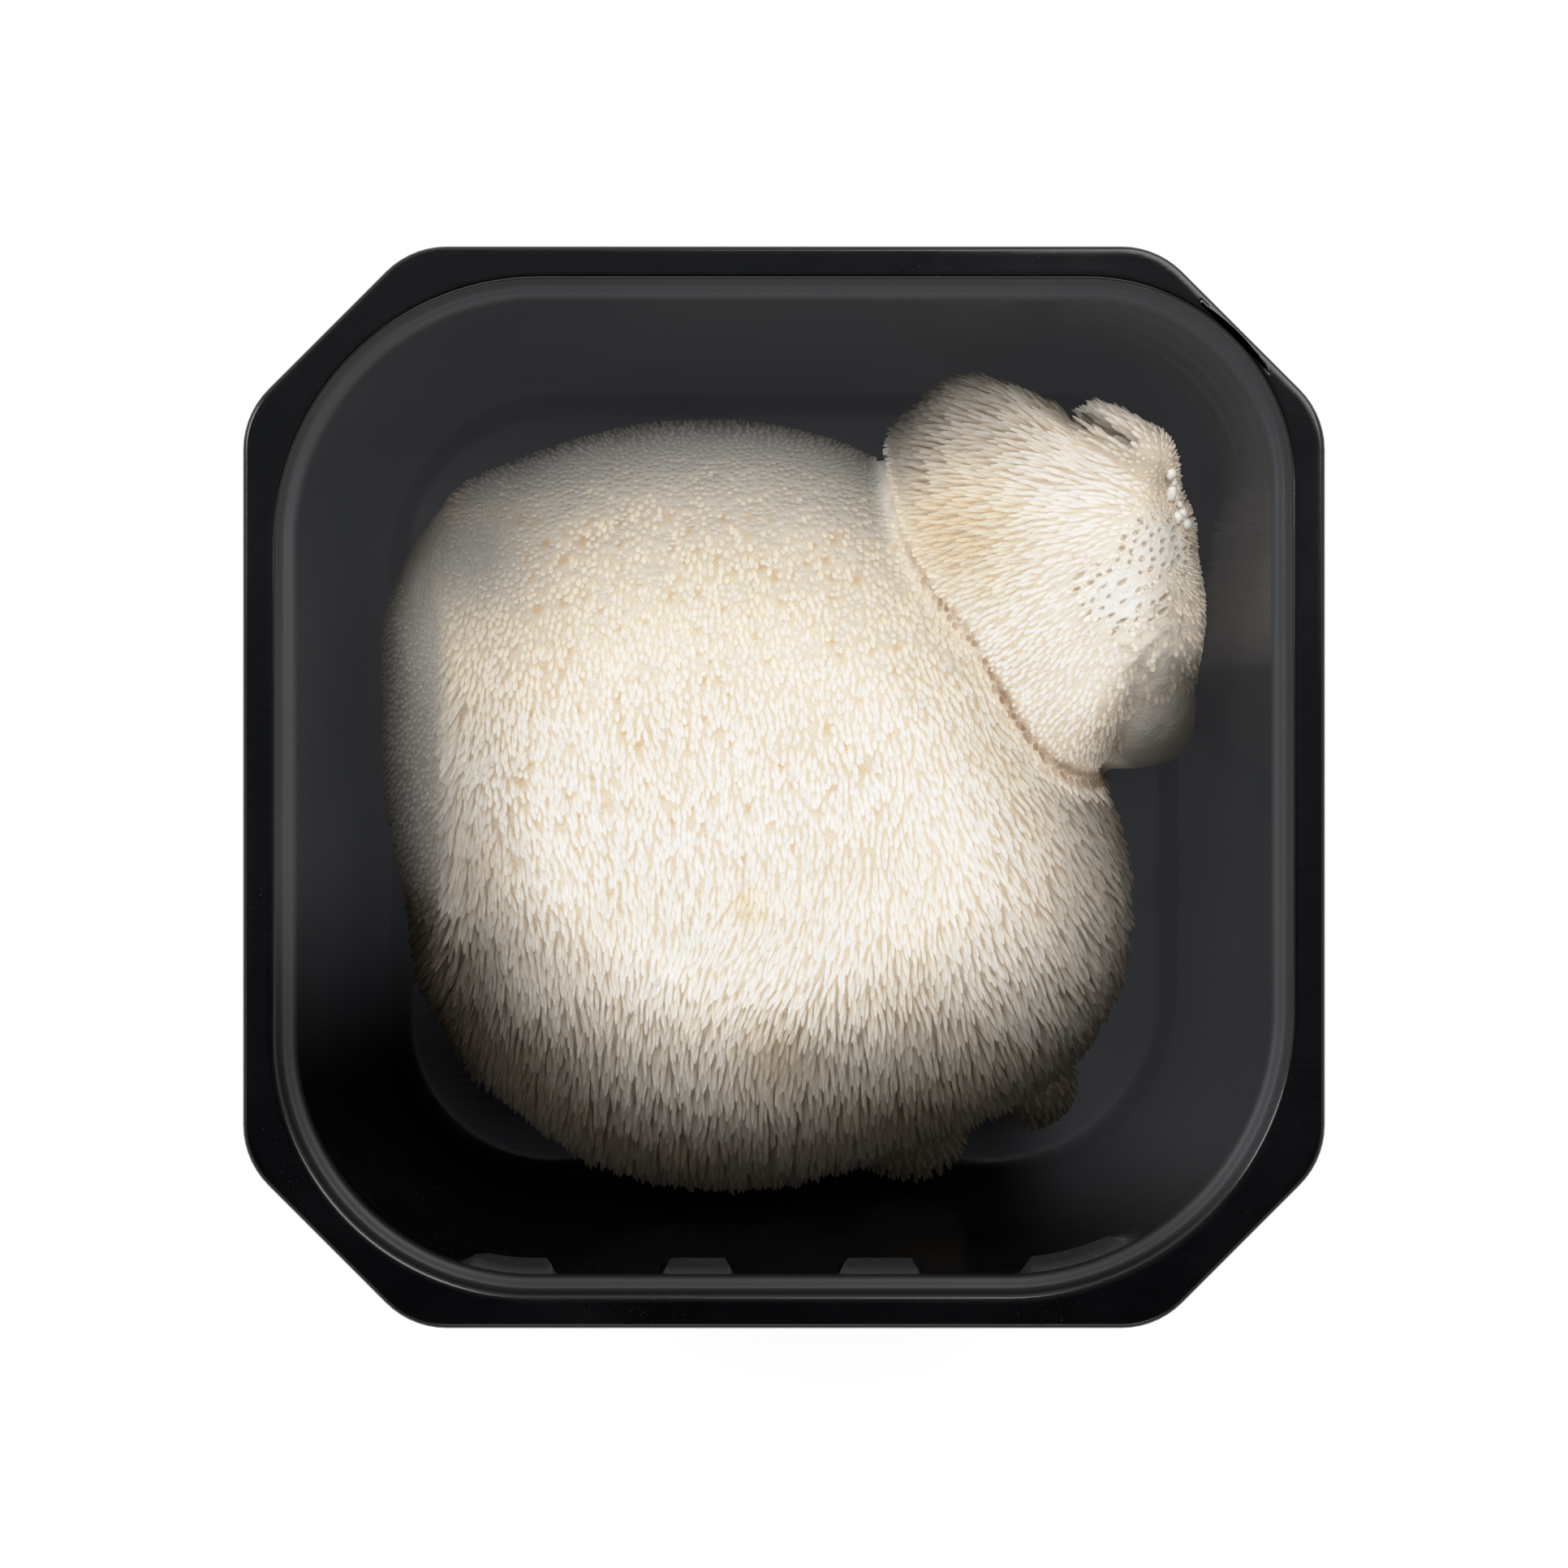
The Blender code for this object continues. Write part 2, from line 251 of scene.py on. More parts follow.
def opaque(colour):
    """A colour, or a grey given as one number, with full cover."""
    return (*colour, 1) if isinstance(colour, tuple) else (colour, colour, colour, 1)


def ramp(tree, value, stops):
    """A colour or grey for each value, from (place, colour) stops."""
    made = add(tree, "ShaderNodeValToRGB", inputs={"Fac": value})
    elements = made.color_ramp.elements
    while len(elements) < len(stops):
        elements.new(0.5)
    for element, (place, colour) in zip(elements, stops):
        element.position = place
        element.color = opaque(colour)
    return made.outputs["Color"]


MIX_SHARE, MIX_FIRST, MIX_SECOND, MIX_RESULT = 0, 6, 7, 2  # a Mix node's sockets for colours


def mix(tree, share, first, second, blend="MIX"):
    made = add(tree, "ShaderNodeMix", {"data_type": "RGBA", "blend_type": blend})
    connect(tree, share, made.inputs[MIX_SHARE])
    for index, value in ((MIX_FIRST, first), (MIX_SECOND, second)):
        connect(tree, value if isinstance(value, bpy.types.NodeSocket) else opaque(value), made.inputs[index])
    return made.outputs[MIX_RESULT]


def multiplied(tree, colour, tint):
    return mix(tree, 1.0, colour, tint, "MULTIPLY")


def tinted(tree, share, colour, tint):
    """A colour multiplied by a tint, as far as the share says."""
    return mix(tree, share, colour, multiplied(tree, colour, tint))


def maths(tree, operation, first, second, clamp=False):
    made = add(tree, "ShaderNodeMath", {"operation": operation, "use_clamp": clamp})
    connect(tree, first, made.inputs[0])
    connect(tree, second, made.inputs[1])
    return made.outputs[0]


def grain(tree, scale, detail=3.0, roughness=0.5, stretch=(1, 1, 1)):
    """Noise over the object's own coordinates, in cells per metre."""
    place = add(tree, "ShaderNodeTexCoord").outputs["Object"]
    mapping = add(tree, "ShaderNodeMapping", inputs={"Vector": place, "Scale": stretch})
    made = add(tree, "ShaderNodeTexNoise", inputs={
        "Vector": mapping.outputs["Vector"], "Scale": scale, "Detail": detail, "Roughness": roughness,
    })
    return made.outputs["Fac"]


def relief(tree, height, distance, strength, below=None):
    """A surface's normals with small relief on it, and with other relief below that."""
    inputs = {"Height": height, "Distance": distance, "Strength": strength}
    if below is not None:
        inputs["Normal"] = below
    return add(tree, "ShaderNodeBump", inputs=inputs).outputs["Normal"]


def glow(material, tree, shader, colour, strength):
    """Let a surface give off light of its own, too weak to be sampled as a lamp."""
    fill(tree, shader, {"Emission Color": colour, "Emission Strength": strength})
    material.cycles.emission_sampling = "NONE"


INNER_LIGHT = 0.15  # stands in for the light that soft flesh passes on from one spine to the next
FLANK_SHADE_TINT = (0.062, 0.056, 0.046)  # what painted shade multiplies the flesh's colour by, where it is strongest down the flanks
# The grey mixed into spines where the skin is bare. On the left shelf and the far-left shoulder it is partly
# painted shade.
BARE_GREY_AND_SHADE = (0.54, 0.53, 0.50)


def spine_material():
    """Ivory tips on tan roots. The tan of the roots and of each spine's sides and underside is partly painted
    shade, because the spines cast no shadows. Spines differ a little from each other. Brown is partly the
    seam's own colour and partly painted shade, in the seam's crease and low on the left flank. Grey is partly
    the bare skin's grey and partly painted shade, and the flanks get painted shade.
    """
    material, tree, shader = new_material("spine_flesh")
    # Partly painted shade: darker tan towards each spine's root, where its neighbours would shade it.
    colour = ramp(tree, attribute(tree, "along"), (
        (0.0, (0.73, 0.60, 0.46)),
        (0.38, (0.83, 0.75, 0.65)),
        (0.72, (0.91, 0.875, 0.82)),
        (1.0, (0.93, 0.905, 0.87)),
    ))
    # Painted shade: a spine's sides and underside, where its ridge value is low, are multiplied by tan.
    colour = mix(tree, attribute(tree, "ridge"), multiplied(tree, colour, (0.84, 0.75, 0.66)), colour)
    uneven = ramp(tree, attribute(tree, "tint"), (
        (0.0, (0.90, 0.87, 0.83)), (0.5, (0.97, 0.96, 0.94)), (1.0, 1.0),
    ))
    colour = multiplied(tree, colour, uneven)
    colour = tinted(tree, attribute(tree, "warm"), colour, (0.93, 0.80, 0.63))
    # Brown: partly the seam's own colour, partly painted shade in the crease and low on the left flank.
    colour = mix(tree, attribute(tree, "brown"), colour, (0.23, 0.13, 0.065))
    colour = mix(tree, attribute(tree, "grey"), colour, BARE_GREY_AND_SHADE)
    # Painted shade down the flanks, at the outlines and in the creases, from the low values.
    colour = tinted(tree, attribute(tree, "low"), colour, FLANK_SHADE_TINT)
    mottle = grain(tree, 900, 2.0)
    colour = tinted(tree, ramp(tree, mottle, ((0.35, 0.0), (0.75, 0.25))), colour, (0.86, 0.78, 0.66))
    glow(material, tree, shader, colour, INNER_LIGHT)
    fill(tree, shader, {
        "Base Color": colour,
        "Roughness": ramp(tree, mottle, ((0.3, 0.62), (0.7, 0.5))),
        "Specular IOR Level": 0.22,
        "Subsurface Weight": 0.35,
        "Subsurface Radius": (1.0, 0.85, 0.7),
        "Subsurface Scale": 0.0008,
        "Normal": relief(tree, grain(tree, 2600, 3.0), 0.00012, 0.5),
    })
    return material


def flesh_material():
    """The skin that the spines grow from: tan between them, greyer and granular on the bare shoulder. Its
    flanks and creases get painted shade, and so do parts of the shoulder on the left.
    """
    material, tree, shader = new_material("flesh")
    broad = grain(tree, 90, 4.0)
    fine = grain(tree, 1500, 4.0, 0.6)
    dots = grain(tree, 4200, 2.0, 0.5)
    colour = ramp(tree, broad, ((0.3, (0.71, 0.60, 0.47)), (0.7, (0.79, 0.70, 0.58))))
    shoulder = ramp(tree, fine, (
        (0.3, (0.42, 0.41, 0.38)), (0.6, (0.51, 0.50, 0.47)), (0.8, (0.59, 0.585, 0.56)),
    ))
    colour = mix(tree, attribute(tree, "bare"), colour, shoulder)
    colour = mix(tree, attribute(tree, "pale"), colour, (0.80, 0.77, 0.71))
    colour = mix(tree, attribute(tree, "pit"), colour, (0.60, 0.42, 0.25))
    colour = mix(tree, maths(tree, "MULTIPLY", attribute(tree, "pore"), 0.85), colour, (0.60, 0.49, 0.37))
    # Brown along the seam: partly the flesh's own colour, partly painted shade in the crease.
    colour = mix(tree, attribute(tree, "brown"), colour, (0.20, 0.11, 0.055))
    # Painted shade down the flanks, at the outlines and in the creases, from the low values.
    colour = tinted(tree, attribute(tree, "low"), colour, FLANK_SHADE_TINT)
    glow(material, tree, shader, colour, INNER_LIGHT)
    fill(tree, shader, {
        "Base Color": colour,
        "Roughness": 0.6,
        "Specular IOR Level": 0.25,
        "Subsurface Weight": 0.25,
        "Subsurface Radius": (1.0, 0.7, 0.45),
        "Subsurface Scale": 0.0015,
        "Normal": relief(tree, dots, 0.0002, 0.6, relief(tree, fine, 0.0005, 0.6)),
    })
    return material


def bead_material():
    """Drops of clear pale liquid on the side lobe's shoulder."""
    material, tree, shader = new_material("glassy_flesh")
    colour = ramp(tree, grain(tree, 700, 2.0), ((0.3, (0.80, 0.76, 0.66)), (0.7, (0.90, 0.88, 0.82))))
    fill(tree, shader, {
        "Base Color": colour,
        "Roughness": 0.28,
        "Subsurface Weight": 0.5,
        "Subsurface Radius": (1.0, 0.9, 0.8),
        "Subsurface Scale": 0.001,
        "Normal": relief(tree, grain(tree, 1500, 1.0), 0.0001, 0.4),
    })
    return material


def plastic_material():
    """Glossy black thermoformed plastic: slightly wavy, with smudges, fine scratches and a little dust. Most
    of the well carries a painted reflection, in a lighter colour and a faint glow.
    """
    material, tree, shader = new_material("glossy_black_plastic")
    smudge = grain(tree, 38, 5.0, 0.62)
    dust = grain(tree, 5200, 2.0, 0.6)
    patches = grain(tree, 60, 3.0, 0.6)
    dusty = maths(
        tree, "MULTIPLY",
        ramp(tree, dust, ((0.70, 0.0), (0.76, 1.0))), ramp(tree, patches, ((0.45, 0.0), (0.65, 1.0))),
    )
    # Painted reflection: a pale tone over the well, added to the colour and given off as a faint glow.
    glare_tone = ramp(tree, grain(tree, 16, 3.0, 0.5), (
        (0.3, (0.019, 0.020, 0.023)), (0.7, (0.026, 0.0265, 0.0285)),
    ))
    painted_glare = mix(tree, attribute(tree, "haze"), 0.0, glare_tone)
    colour = ramp(tree, smudge, ((0.35, (0.0010, 0.0012, 0.0015)), (0.7, (0.0028, 0.0030, 0.0035))))
    colour = mix(tree, 0.6, colour, painted_glare, "ADD")
    rough = mix(tree, attribute(tree, "dull"), ramp(tree, smudge, ((0.3, 0.09), (0.7, 0.20))), 0.5)
    wavy = relief(tree, grain(tree, 45, 2.0), 0.0004, 0.15)
    scratched = grain(tree, 900, 3.0, 0.7, (0.08, 1.0, 1.0))
    # The painted reflection glows, though the tray is no lamp.
    glow(material, tree, shader, painted_glare, 1.0)
    fill(tree, shader, {
        "Base Color": mix(tree, dusty, colour, (0.16, 0.17, 0.18)),
        "Roughness": mix(tree, dusty, rough, 0.6),
        "IOR": 1.53,
        "Normal": relief(tree, scratched, 0.00003, 0.35, wavy),
    })
    return material


def residue_material():
    """Greyish specks of something that dried on the rim."""
    material, tree, shader = new_material("dried_specks")
    fill(tree, shader, {
        "Base Color": ramp(tree, grain(tree, 1800, 2.0), ((0.3, 0.30), (0.7, (0.62, 0.62, 0.60)))),
        "Roughness": 0.55,
    })
    return material


# How many points an outline of the tray has on each arc, cut and straight run. The lugs are on the near run.
CORNER_ARC = 8
CUT_RUN = 15
STRAIGHT = 22
NEAR_STRAIGHT = 110
POINTS_IN_CORNER = 2 * CORNER_ARC + CUT_RUN
QUARTERS = ((1, 1), (-1, 1), (-1, -1), (1, -1))
NEAR_QUARTER = 2
LEAST_CORNER = 3.0


def run_between(start, end, count):
    """Evenly spaced places strictly between two places."""
    shares = np.arange(1, count + 1)[:, None] / (count + 1)
    return start + (end - start) * shares


def outline(corner_points, corner_normals):
    """A closed outline from its four corners, with points along the straight runs between them."""
    points = []
    normals = []
    for quarter in range(4):
        count = NEAR_STRAIGHT if quarter == NEAR_QUARTER else STRAIGHT
        here = corner_points[quarter]
        after = corner_points[(quarter + 1) % 4]
        points += [here, run_between(here[-1], after[0], count)]
        normals += [corner_normals[quarter], np.repeat(corner_normals[quarter][-1:], count, axis=0)]
    return np.concatenate(points), np.concatenate(normals)


def directions(angles):
    return np.stack((np.cos(angles), np.sin(angles)), axis=1)


def rounded_square(half):
    """The well's outline where it is this wide."""
    corners = []
    normals = []
    for quarter, edge_radius in enumerate(WELL_CORNERS):
        radius = max(edge_radius - (WELL_HALF - half), LEAST_CORNER)
        turn = quarter * math.pi / 2
        facing = directions(np.linspace(turn, turn + math.pi / 2, POINTS_IN_CORNER))
        corners.append(np.array(QUARTERS[quarter]) * (half - radius) + radius * facing)
        normals.append(facing)
    return outline(corners, normals)


def cut_square(half):
    """The rim's outline: a square with cut corners. Both ends of each cut are rounded."""
    inset = TRAY_HALF - half
    rounding = CUT_ROUNDING - inset
    cut = CORNER_CUT - inset * (2 - math.sqrt(2))
    eighth = math.pi / 4
    along = half - cut - rounding * math.tan(eighth / 2)
    corners = []
    normals = []
    for quarter in range(4):
        turn = quarter * math.pi / 2
        rotation = np.array(((math.cos(turn), -math.sin(turn)), (math.sin(turn), math.cos(turn))))
        first_centre = rotation @ np.array((half - rounding, along))
        second_centre = rotation @ np.array((along, half - rounding))
        first = directions(np.linspace(turn, turn + eighth, CORNER_ARC))
        second = directions(np.linspace(turn + eighth, turn + 2 * eighth, CORNER_ARC))
        start = first_centre + rounding * first
        end = second_centre + rounding * second
        corners.append(np.concatenate((start, run_between(start[-1], end[0], CUT_RUN), end)))
        normals.append(np.concatenate((first, np.repeat(first[-1:], CUT_RUN, axis=0), second)))
    return outline(corners, normals)


def quarter_round(start, end, count, hollow):
    """Places along a quarter round in section. A hollow one starts along the level and ends upright."""
    places = []
    for angle in np.linspace(0, math.pi / 2, count):
        share = (1 - math.cos(angle), math.sin(angle))
        if hollow:
            share = (math.sin(angle), 1 - math.cos(angle))
        places.append((start[0] + (end[0] - start[0]) * share[0], start[1] + (end[1] - start[1]) * share[1]))
    return places


def wall_half(z):
    """Half the well's width at a height."""
    foot = WALL + FOOT_RISE
    top = TRAY_HEIGHT - STEP_DEPTH - STEP_EDGE
    return WALL_FOOT_HALF + (WALL_TOP_HALF - WALL_FOOT_HALF) * (z - foot) / (top - foot)


def lug_profile(points, z):
    """How far the near wall stands in at a height because of its lugs."""
    height = (z - (LUG_TOP - LUG_HEIGHT)) / LUG_HEIGHT
    total = np.zeros(len(points))
    if height <= 0 or height > 1:
        return total
    near = points[:, 1] < -40
    for place, width in LUGS:
        half = width / 2 * (1 - 0.12 * height)
        total += smooth_step(half + 0.5, half - 0.7, np.abs(points[:, 0] - place))
    return total * near * LUG_REACH * height ** 1.3


def stretch_marks(z, normals):
    """Shallow rings in the corners of the wall, where the plastic was stretched."""
    corner = (2 * np.abs(normals[:, 0] * normals[:, 1])) ** 1.5
    wave = 0.035 * math.sin(z * 1.1) + 0.02 * math.sin(z * 2.1 + 1.0)
    return corner * wave * smooth_step(22, 34, z) * smooth_step(51.5, 48.5, z)


STEP_LEVEL = TRAY_HEIGHT - STEP_DEPTH
STEP_HALF = WALL_TOP_HALF + STEP_WIDTH
INNER_FLOOR = ((30.0, WALL), (48.0, WALL))
OUTER_FLOOR = ((48.0, 0.0), (30.0, 0.0))
LUG_LEVELS = (46.0, 46.6, 47.3, 48.0, 48.7, 49.4, 50.0, 50.5, 50.8, 50.95, 51.0, 51.08, 51.3)
OUTER_LEVELS = (48.0, 44.0, 38.0, 30.0, 22.0, 14.0, 8.0)
TURN_OVER = 3  # rings of the profile that turn over into the rim
# The turned-down edge, as inset from the rim's outline and depth below its top.
SKIRT = (
    (0.0, SKIRT_DEPTH - 0.15), (0.12, SKIRT_DEPTH), (WALL - 0.1, SKIRT_DEPTH), (WALL, SKIRT_DEPTH - 0.15),
    (WALL, WALL + 0.5), (WALL + 0.4, WALL),
)


def tray_profile():
    """The tray's inner face in section, from its floor out to the rim: half width and height."""
    places = list(INNER_FLOOR)
    places += quarter_round((FLOOR_HALF, WALL), (WALL_FOOT_HALF, WALL + FOOT_RISE), 7, True)
    heights = (*np.linspace(WALL + FOOT_RISE, 30, 8)[1:], *np.linspace(31, 45.5, 19), *LUG_LEVELS)
    places += [(wall_half(z), z) for z in heights]
    places += quarter_round(
        (WALL_TOP_HALF, STEP_LEVEL - STEP_EDGE), (WALL_TOP_HALF + STEP_EDGE, STEP_LEVEL - 0.12), 6, False)
    places += [(STEP_HALF - 0.25, STEP_LEVEL), (STEP_HALF - 0.05, STEP_LEVEL + 0.12)]
    places += quarter_round((STEP_HALF + 0.4, STEP_LEVEL + 1.3), (WELL_HALF, TRAY_HEIGHT), 6, False)
    return places


def tray_rings(profile):
    """Outlines with their heights: up the inner face, over the rim and its skirt, and back underneath."""
    top = TRAY_HEIGHT
    rings = []
    for half, z in profile:
        points, normals = rounded_square(half)
        inward = lug_profile(points, z) + stretch_marks(z, normals)
        rings.append((points - normals * inward[:, None], z))
    rings += [(rounded_square(WELL_HALF + 0.7)[0], top), (cut_square(TRAY_HALF - 1.6)[0], top)]
    edge = reversed(quarter_round((TRAY_HALF, top - 1.0), (TRAY_HALF - 0.8, top), 7, False))
    rings += [(cut_square(half)[0], z) for half, z in edge]
    rings += [(cut_square(TRAY_HALF - inset)[0], top - depth) for inset, depth in SKIRT]
    under = [
        (WELL_HALF + 0.9, top - WALL), (WELL_HALF + 0.5, top - WALL - 0.4),
        (STEP_HALF + 0.9, STEP_LEVEL - 0.3), (STEP_HALF + 0.4, STEP_LEVEL - WALL),
        (WALL_TOP_HALF + 1.25, STEP_LEVEL - WALL - 0.2), (WALL_TOP_HALF + WALL, top - 4.4),
    ]
    under += [(wall_half(z) + WALL, z) for z in OUTER_LEVELS]
    under += reversed(quarter_round((FLOOR_HALF, 0.0), (WALL_FOOT_HALF + WALL, WALL + FOOT_RISE), 7, True))
    under += OUTER_FLOOR
    return rings + [(rounded_square(half)[0], z) for half, z in under]


def build_tray(material):
    """A loft through the tray's rings as one closed shell, with the share of painted reflection and the dull
    patches of its well.
    """
    profile = tray_profile()
    rings = tray_rings(profile)
    count = len(rings[0][0])
    verts = np.concatenate([np.column_stack((points, np.full(count, z))) for points, z in rings])
    here = np.arange(count)
    after = (here + 1) % count
    starts = [ring * count for ring in range(len(rings))]
    quads = [
        np.stack((here + low, here + high, after + high, after + low), 1).ravel()
        for low, high in zip(starts, starts[1:])
    ]
    floor = here
    underside = here[::-1] + starts[-1]
    corners = np.concatenate((*quads, floor, underside))
    sizes = [4] * starts[-1] + [count, count]
    obj = mesh_object("tray_shell", verts, corners, sizes, material)

    x, y, z = verts.T
    in_well = np.repeat(np.arange(len(rings)) < len(profile) - TURN_OVER, count).astype(float)
    near_left = smooth_step(-4, -44, y) * smooth_step(46, 30, x)
    clear_patch = smooth_step(50, 58, x) * smooth_step(-8, 2, y)
    step = smooth_step(50.6, 51.4, z) * in_well
    dull = 0.35 * in_well * (1 - 0.8 * clear_patch) * (1 - 0.7 * near_left)
    # Painted reflection over the well, none over the near wall and the near-left corner.
    haze = in_well * smooth_step(-68, -48, y) * (1 - near_left)
    add_values(obj, haze=haze, dull=np.maximum(dull, step))
    return obj


def plan_radii(plan, angles):
    """A lobe's plan radius at each angle, on a smooth closed curve through its radii."""
    radii = np.array(plan, float)
    count = len(radii)
    place = (angles / math.tau * count) % count
    index = place.astype(int) % count
    t = place - np.floor(place)
    before, start, end, after = (radii[(index + step) % count] for step in (-1, 0, 1, 2))
    return start + 0.5 * t * (
        end - before
        + t * (2 * before - 5 * start + 4 * end - after + t * (3 * (start - end) + after - before))
    )


def reach(name, way):
    """How far a lobe's skin is from its centre in each direction."""
    lobe = LOBES[name]
    level = np.hypot(way[:, 0], way[:, 1])
    angles = np.arctan2(way[:, 1], way[:, 0])
    radii = plan_radii(lobe.plan, angles)
    if name == "body":
        across = (angles % math.tau - SHELF_BEARING) / SHELF_SPREAD
        up = (way[:, 2] - SHELF_LEVEL) / SHELF_BAND
        radii = radii * (1 - SHELF_DEPTH * np.exp(-across ** 2 - up ** 2))
    above = way[:, 2] > 0
    height = np.where(above, lobe.rise, lobe.drop)
    power = np.where(above, *lobe.fullness)
    return ((level / radii) ** power + (np.abs(way[:, 2]) / height) ** power) ** (-1 / power)


def depth_in(name, points):
    """Where points are against a lobe's skin: below 1 inside it, 1 on it, above 1 outside it."""
    offset = points - np.array(LOBES[name].centre)
    distance = np.linalg.norm(offset, axis=1)
    return distance / reach(name, offset / distance[:, None])


def lobe_depths(points):
    """Where points are against each lobe's skin, a column for each lobe."""
    return np.stack([depth_in(name, points) for name in LOBES], 1)


def apart(owner, depths):
    """How far clear places are of the other cluster: the body with its feet, or the side lobe's parts."""
    body_depth = depths[:, BODY_PARTS].min(1)
    side_depth = depths[:, SIDE_PARTS].min(1)
    return np.clip(np.where(np.isin(owner, SIDE_PARTS), body_depth, side_depth) - 1, 0, 9)


BALL_CUTS = (7, 6, 5, 5, 5, 5)  # how finely each lobe's ball is cut
SKIN_CELL = 0.9


def lobe_mesh(name, cuts):
    """A lobe's skin as an even ball moved out onto it, cut off flat at the base."""
    lobe = LOBES[name]
    bm = bmesh.new()
    bmesh.ops.create_icosphere(bm, subdivisions=cuts, radius=1)
    ball = np.array([vert.co for vert in bm.verts])
    squash = (sum(lobe.plan) / len(lobe.plan) / lobe.rise) ** 0.6
    way = unit(ball * np.array((squash, squash, 1)))
    skin = np.array(lobe.centre) + way * reach(name, way)[:, None]
    skin[:, 2] = np.maximum(skin[:, 2], BASE_HEIGHT)
    for vert, point in zip(bm.verts, skin):
        vert.co = point
    return mesh_from(bm, name)


def joined_lobes():
    """The lobes as one closed skin of small even faces, in millimetres."""
    bm = bmesh.new()
    for name, cuts in zip(LOBES, BALL_CUTS):
        mesh = lobe_mesh(name, cuts)
        bm.from_mesh(mesh)
        bpy.data.meshes.remove(mesh)
    obj = linked("lobes", mesh_from(bm, "lobes"))
    remesh = obj.modifiers.new("remesh", "REMESH")
    remesh.mode = "VOXEL"
    remesh.voxel_size = SKIN_CELL
    soften = obj.modifiers.new("soften", "SMOOTH")
    soften.factor = 0.5
    soften.iterations = 3
    graph = bpy.context.evaluated_depsgraph_get()
    joined = bpy.data.meshes.new_from_object(obj.evaluated_get(graph))
    bpy.data.objects.remove(obj, do_unlink=True)
    return joined


def soften_creases(mesh):
    """Fill the skin's creases to soft valleys, as where two lobes grew against each other."""
    places = per_vertex(mesh, "co")
    second_depth = np.sort(lobe_depths(places), axis=1)[:, 1]
    by_tuft = bump(places, (43.5, 52), (5.5, 5.5))
    share = (0.6 * smooth_step(0.30, 0.08, second_depth - 1) * (1 - by_tuft))[:, None]
    edges = np.empty(len(mesh.edges) * 2, np.int32)
    mesh.edges.foreach_get("vertices", edges)
    first, second = edges.reshape(-1, 2).T
    count = len(places)
    degree = np.maximum(np.bincount(first, minlength=count) + np.bincount(second, minlength=count), 1)
    for _ in range(CREASE_PASSES):
        total = np.stack([
            np.bincount(first, places[second, axis], count) + np.bincount(second, places[first, axis], count)
            for axis in range(3)
        ], 1)
        places = places + share * (total / degree[:, None] - places)
    move_vertices(mesh, places)


# The pores of the side lobe's crown: round ones in one patch, long ones in another, along the spines' flow.
# Each patch is a centre and a half width in plan.
ROUND_PORES = ((53.0, 33.8), (5.6, 4.4))
LONG_PORES = ((47.2, 27.0), (6.8, 5.4))
PORE_REGION = ((50.4, 28.5), (11.0, 12.0))
PORE_TRIES = 1500
PORE_FLOW = math.radians(220)
PORE_DEPTH = 0.55
PORE_LIP = 0.13
DEEPEST_PORE = 0.6

# Lines in plan: the fold above the small low lobe, and the cleft beside the tuft.
FOLD = ((50.2, 17.0), (48.6, 10.0), (46.4, 3.0))
CLEFT = ((40.0, 55.2), (44.6, 51.6), (49.0, 48.6))


def pores():
    """Each pore's place in plan, its half width and half length, and the way that it runs."""
    rng = np.random.default_rng(SEED + 5)
    made = []
    for (centre, spread), spacing, widths, lengths in (
        (ROUND_PORES, 1.25, (0.22, 0.42), (1.0, 1.6)),
        (LONG_PORES, 1.55, (0.20, 0.34), (1.8, 4.5)),
    ):
        for _ in range(PORE_TRIES):
            x, y = rng.uniform(-1, 1, 2)
            width = rng.uniform(*widths)
            length = width * rng.uniform(*lengths)
            turn = math.radians(rng.uniform(200, 240))
            if x * x + y * y > 1:
                continue
            place = (centre[0] + x * spread[0], centre[1] + y * spread[1])
            if none_near(made, *place, spacing):
                made.append((*place, width, length, turn))
    return made


def in_pore_region(co):
    centre, spread = PORE_REGION
    return ((co.x - centre[0]) / spread[0]) ** 2 + ((co.y - centre[1]) / spread[1]) ** 2 < 1 and co.z > 32


def carve_pores(bm):
    """Finer faces on the side lobe's crown, pressed in at each pore and raised round its edge."""
    edges = [edge for edge in bm.edges if all(in_pore_region(vert.co) for vert in edge.verts)]
    bmesh.ops.subdivide_edges(bm, edges=edges, cuts=3, use_grid_fill=True)
    bm.normal_update()
    layer = bm.verts.layers.float.new("pore")
    verts = [vert for vert in bm.verts if in_pore_region(vert.co)]
    places = np.array([vert.co for vert in verts])
    x, y, z = places.T
    shift = np.zeros(len(verts))
    for pore_x, pore_y, width, length, turn in pores():
        along, across = turned(x - pore_x, y - pore_y, -turn)
        away = np.hypot(along / length, across / width)
        shift -= PORE_DEPTH * smooth_step(1.25, 0.55, away)
        shift += PORE_LIP * np.exp(-((away - 1.5) / 0.35) ** 2)
    along, across = turned(x, y, -PORE_FLOW)
    flow = np.stack((along, 3.6 * across, z), 1)
    shift += 0.20 * field(flow, 3.2, 9.0) * bump(places, LONG_PORES[0], (9, 8))
    shift += 0.14 * field(places, 0.8, 7.0) * bump(places, ROUND_PORES[0], (8, 7))
    for vert, amount in zip(verts, np.maximum(shift, -DEEPEST_PORE)):
        vert[layer] = min(1.0, max(0.0, -0.2 - float(amount)) / 0.35)
        vert.co += vert.normal * float(amount)


def near_line(points, line, width):
    """1 on a line drawn in plan, falling to 0 away from it."""
    closest = np.full(len(points), 99.0)
    for start, end in zip(line, line[1:]):
        run = np.array(end) - np.array(start)
        offset = points[:, :2] - np.array(start)
        share = np.clip((offset @ run) / (run @ run), 0, 1)
        closest = np.minimum(closest, np.hypot(*(offset - share[:, None] * run).T))
    return np.exp(-(closest / width) ** 2) * smooth_step(20, 28, points[:, 2])


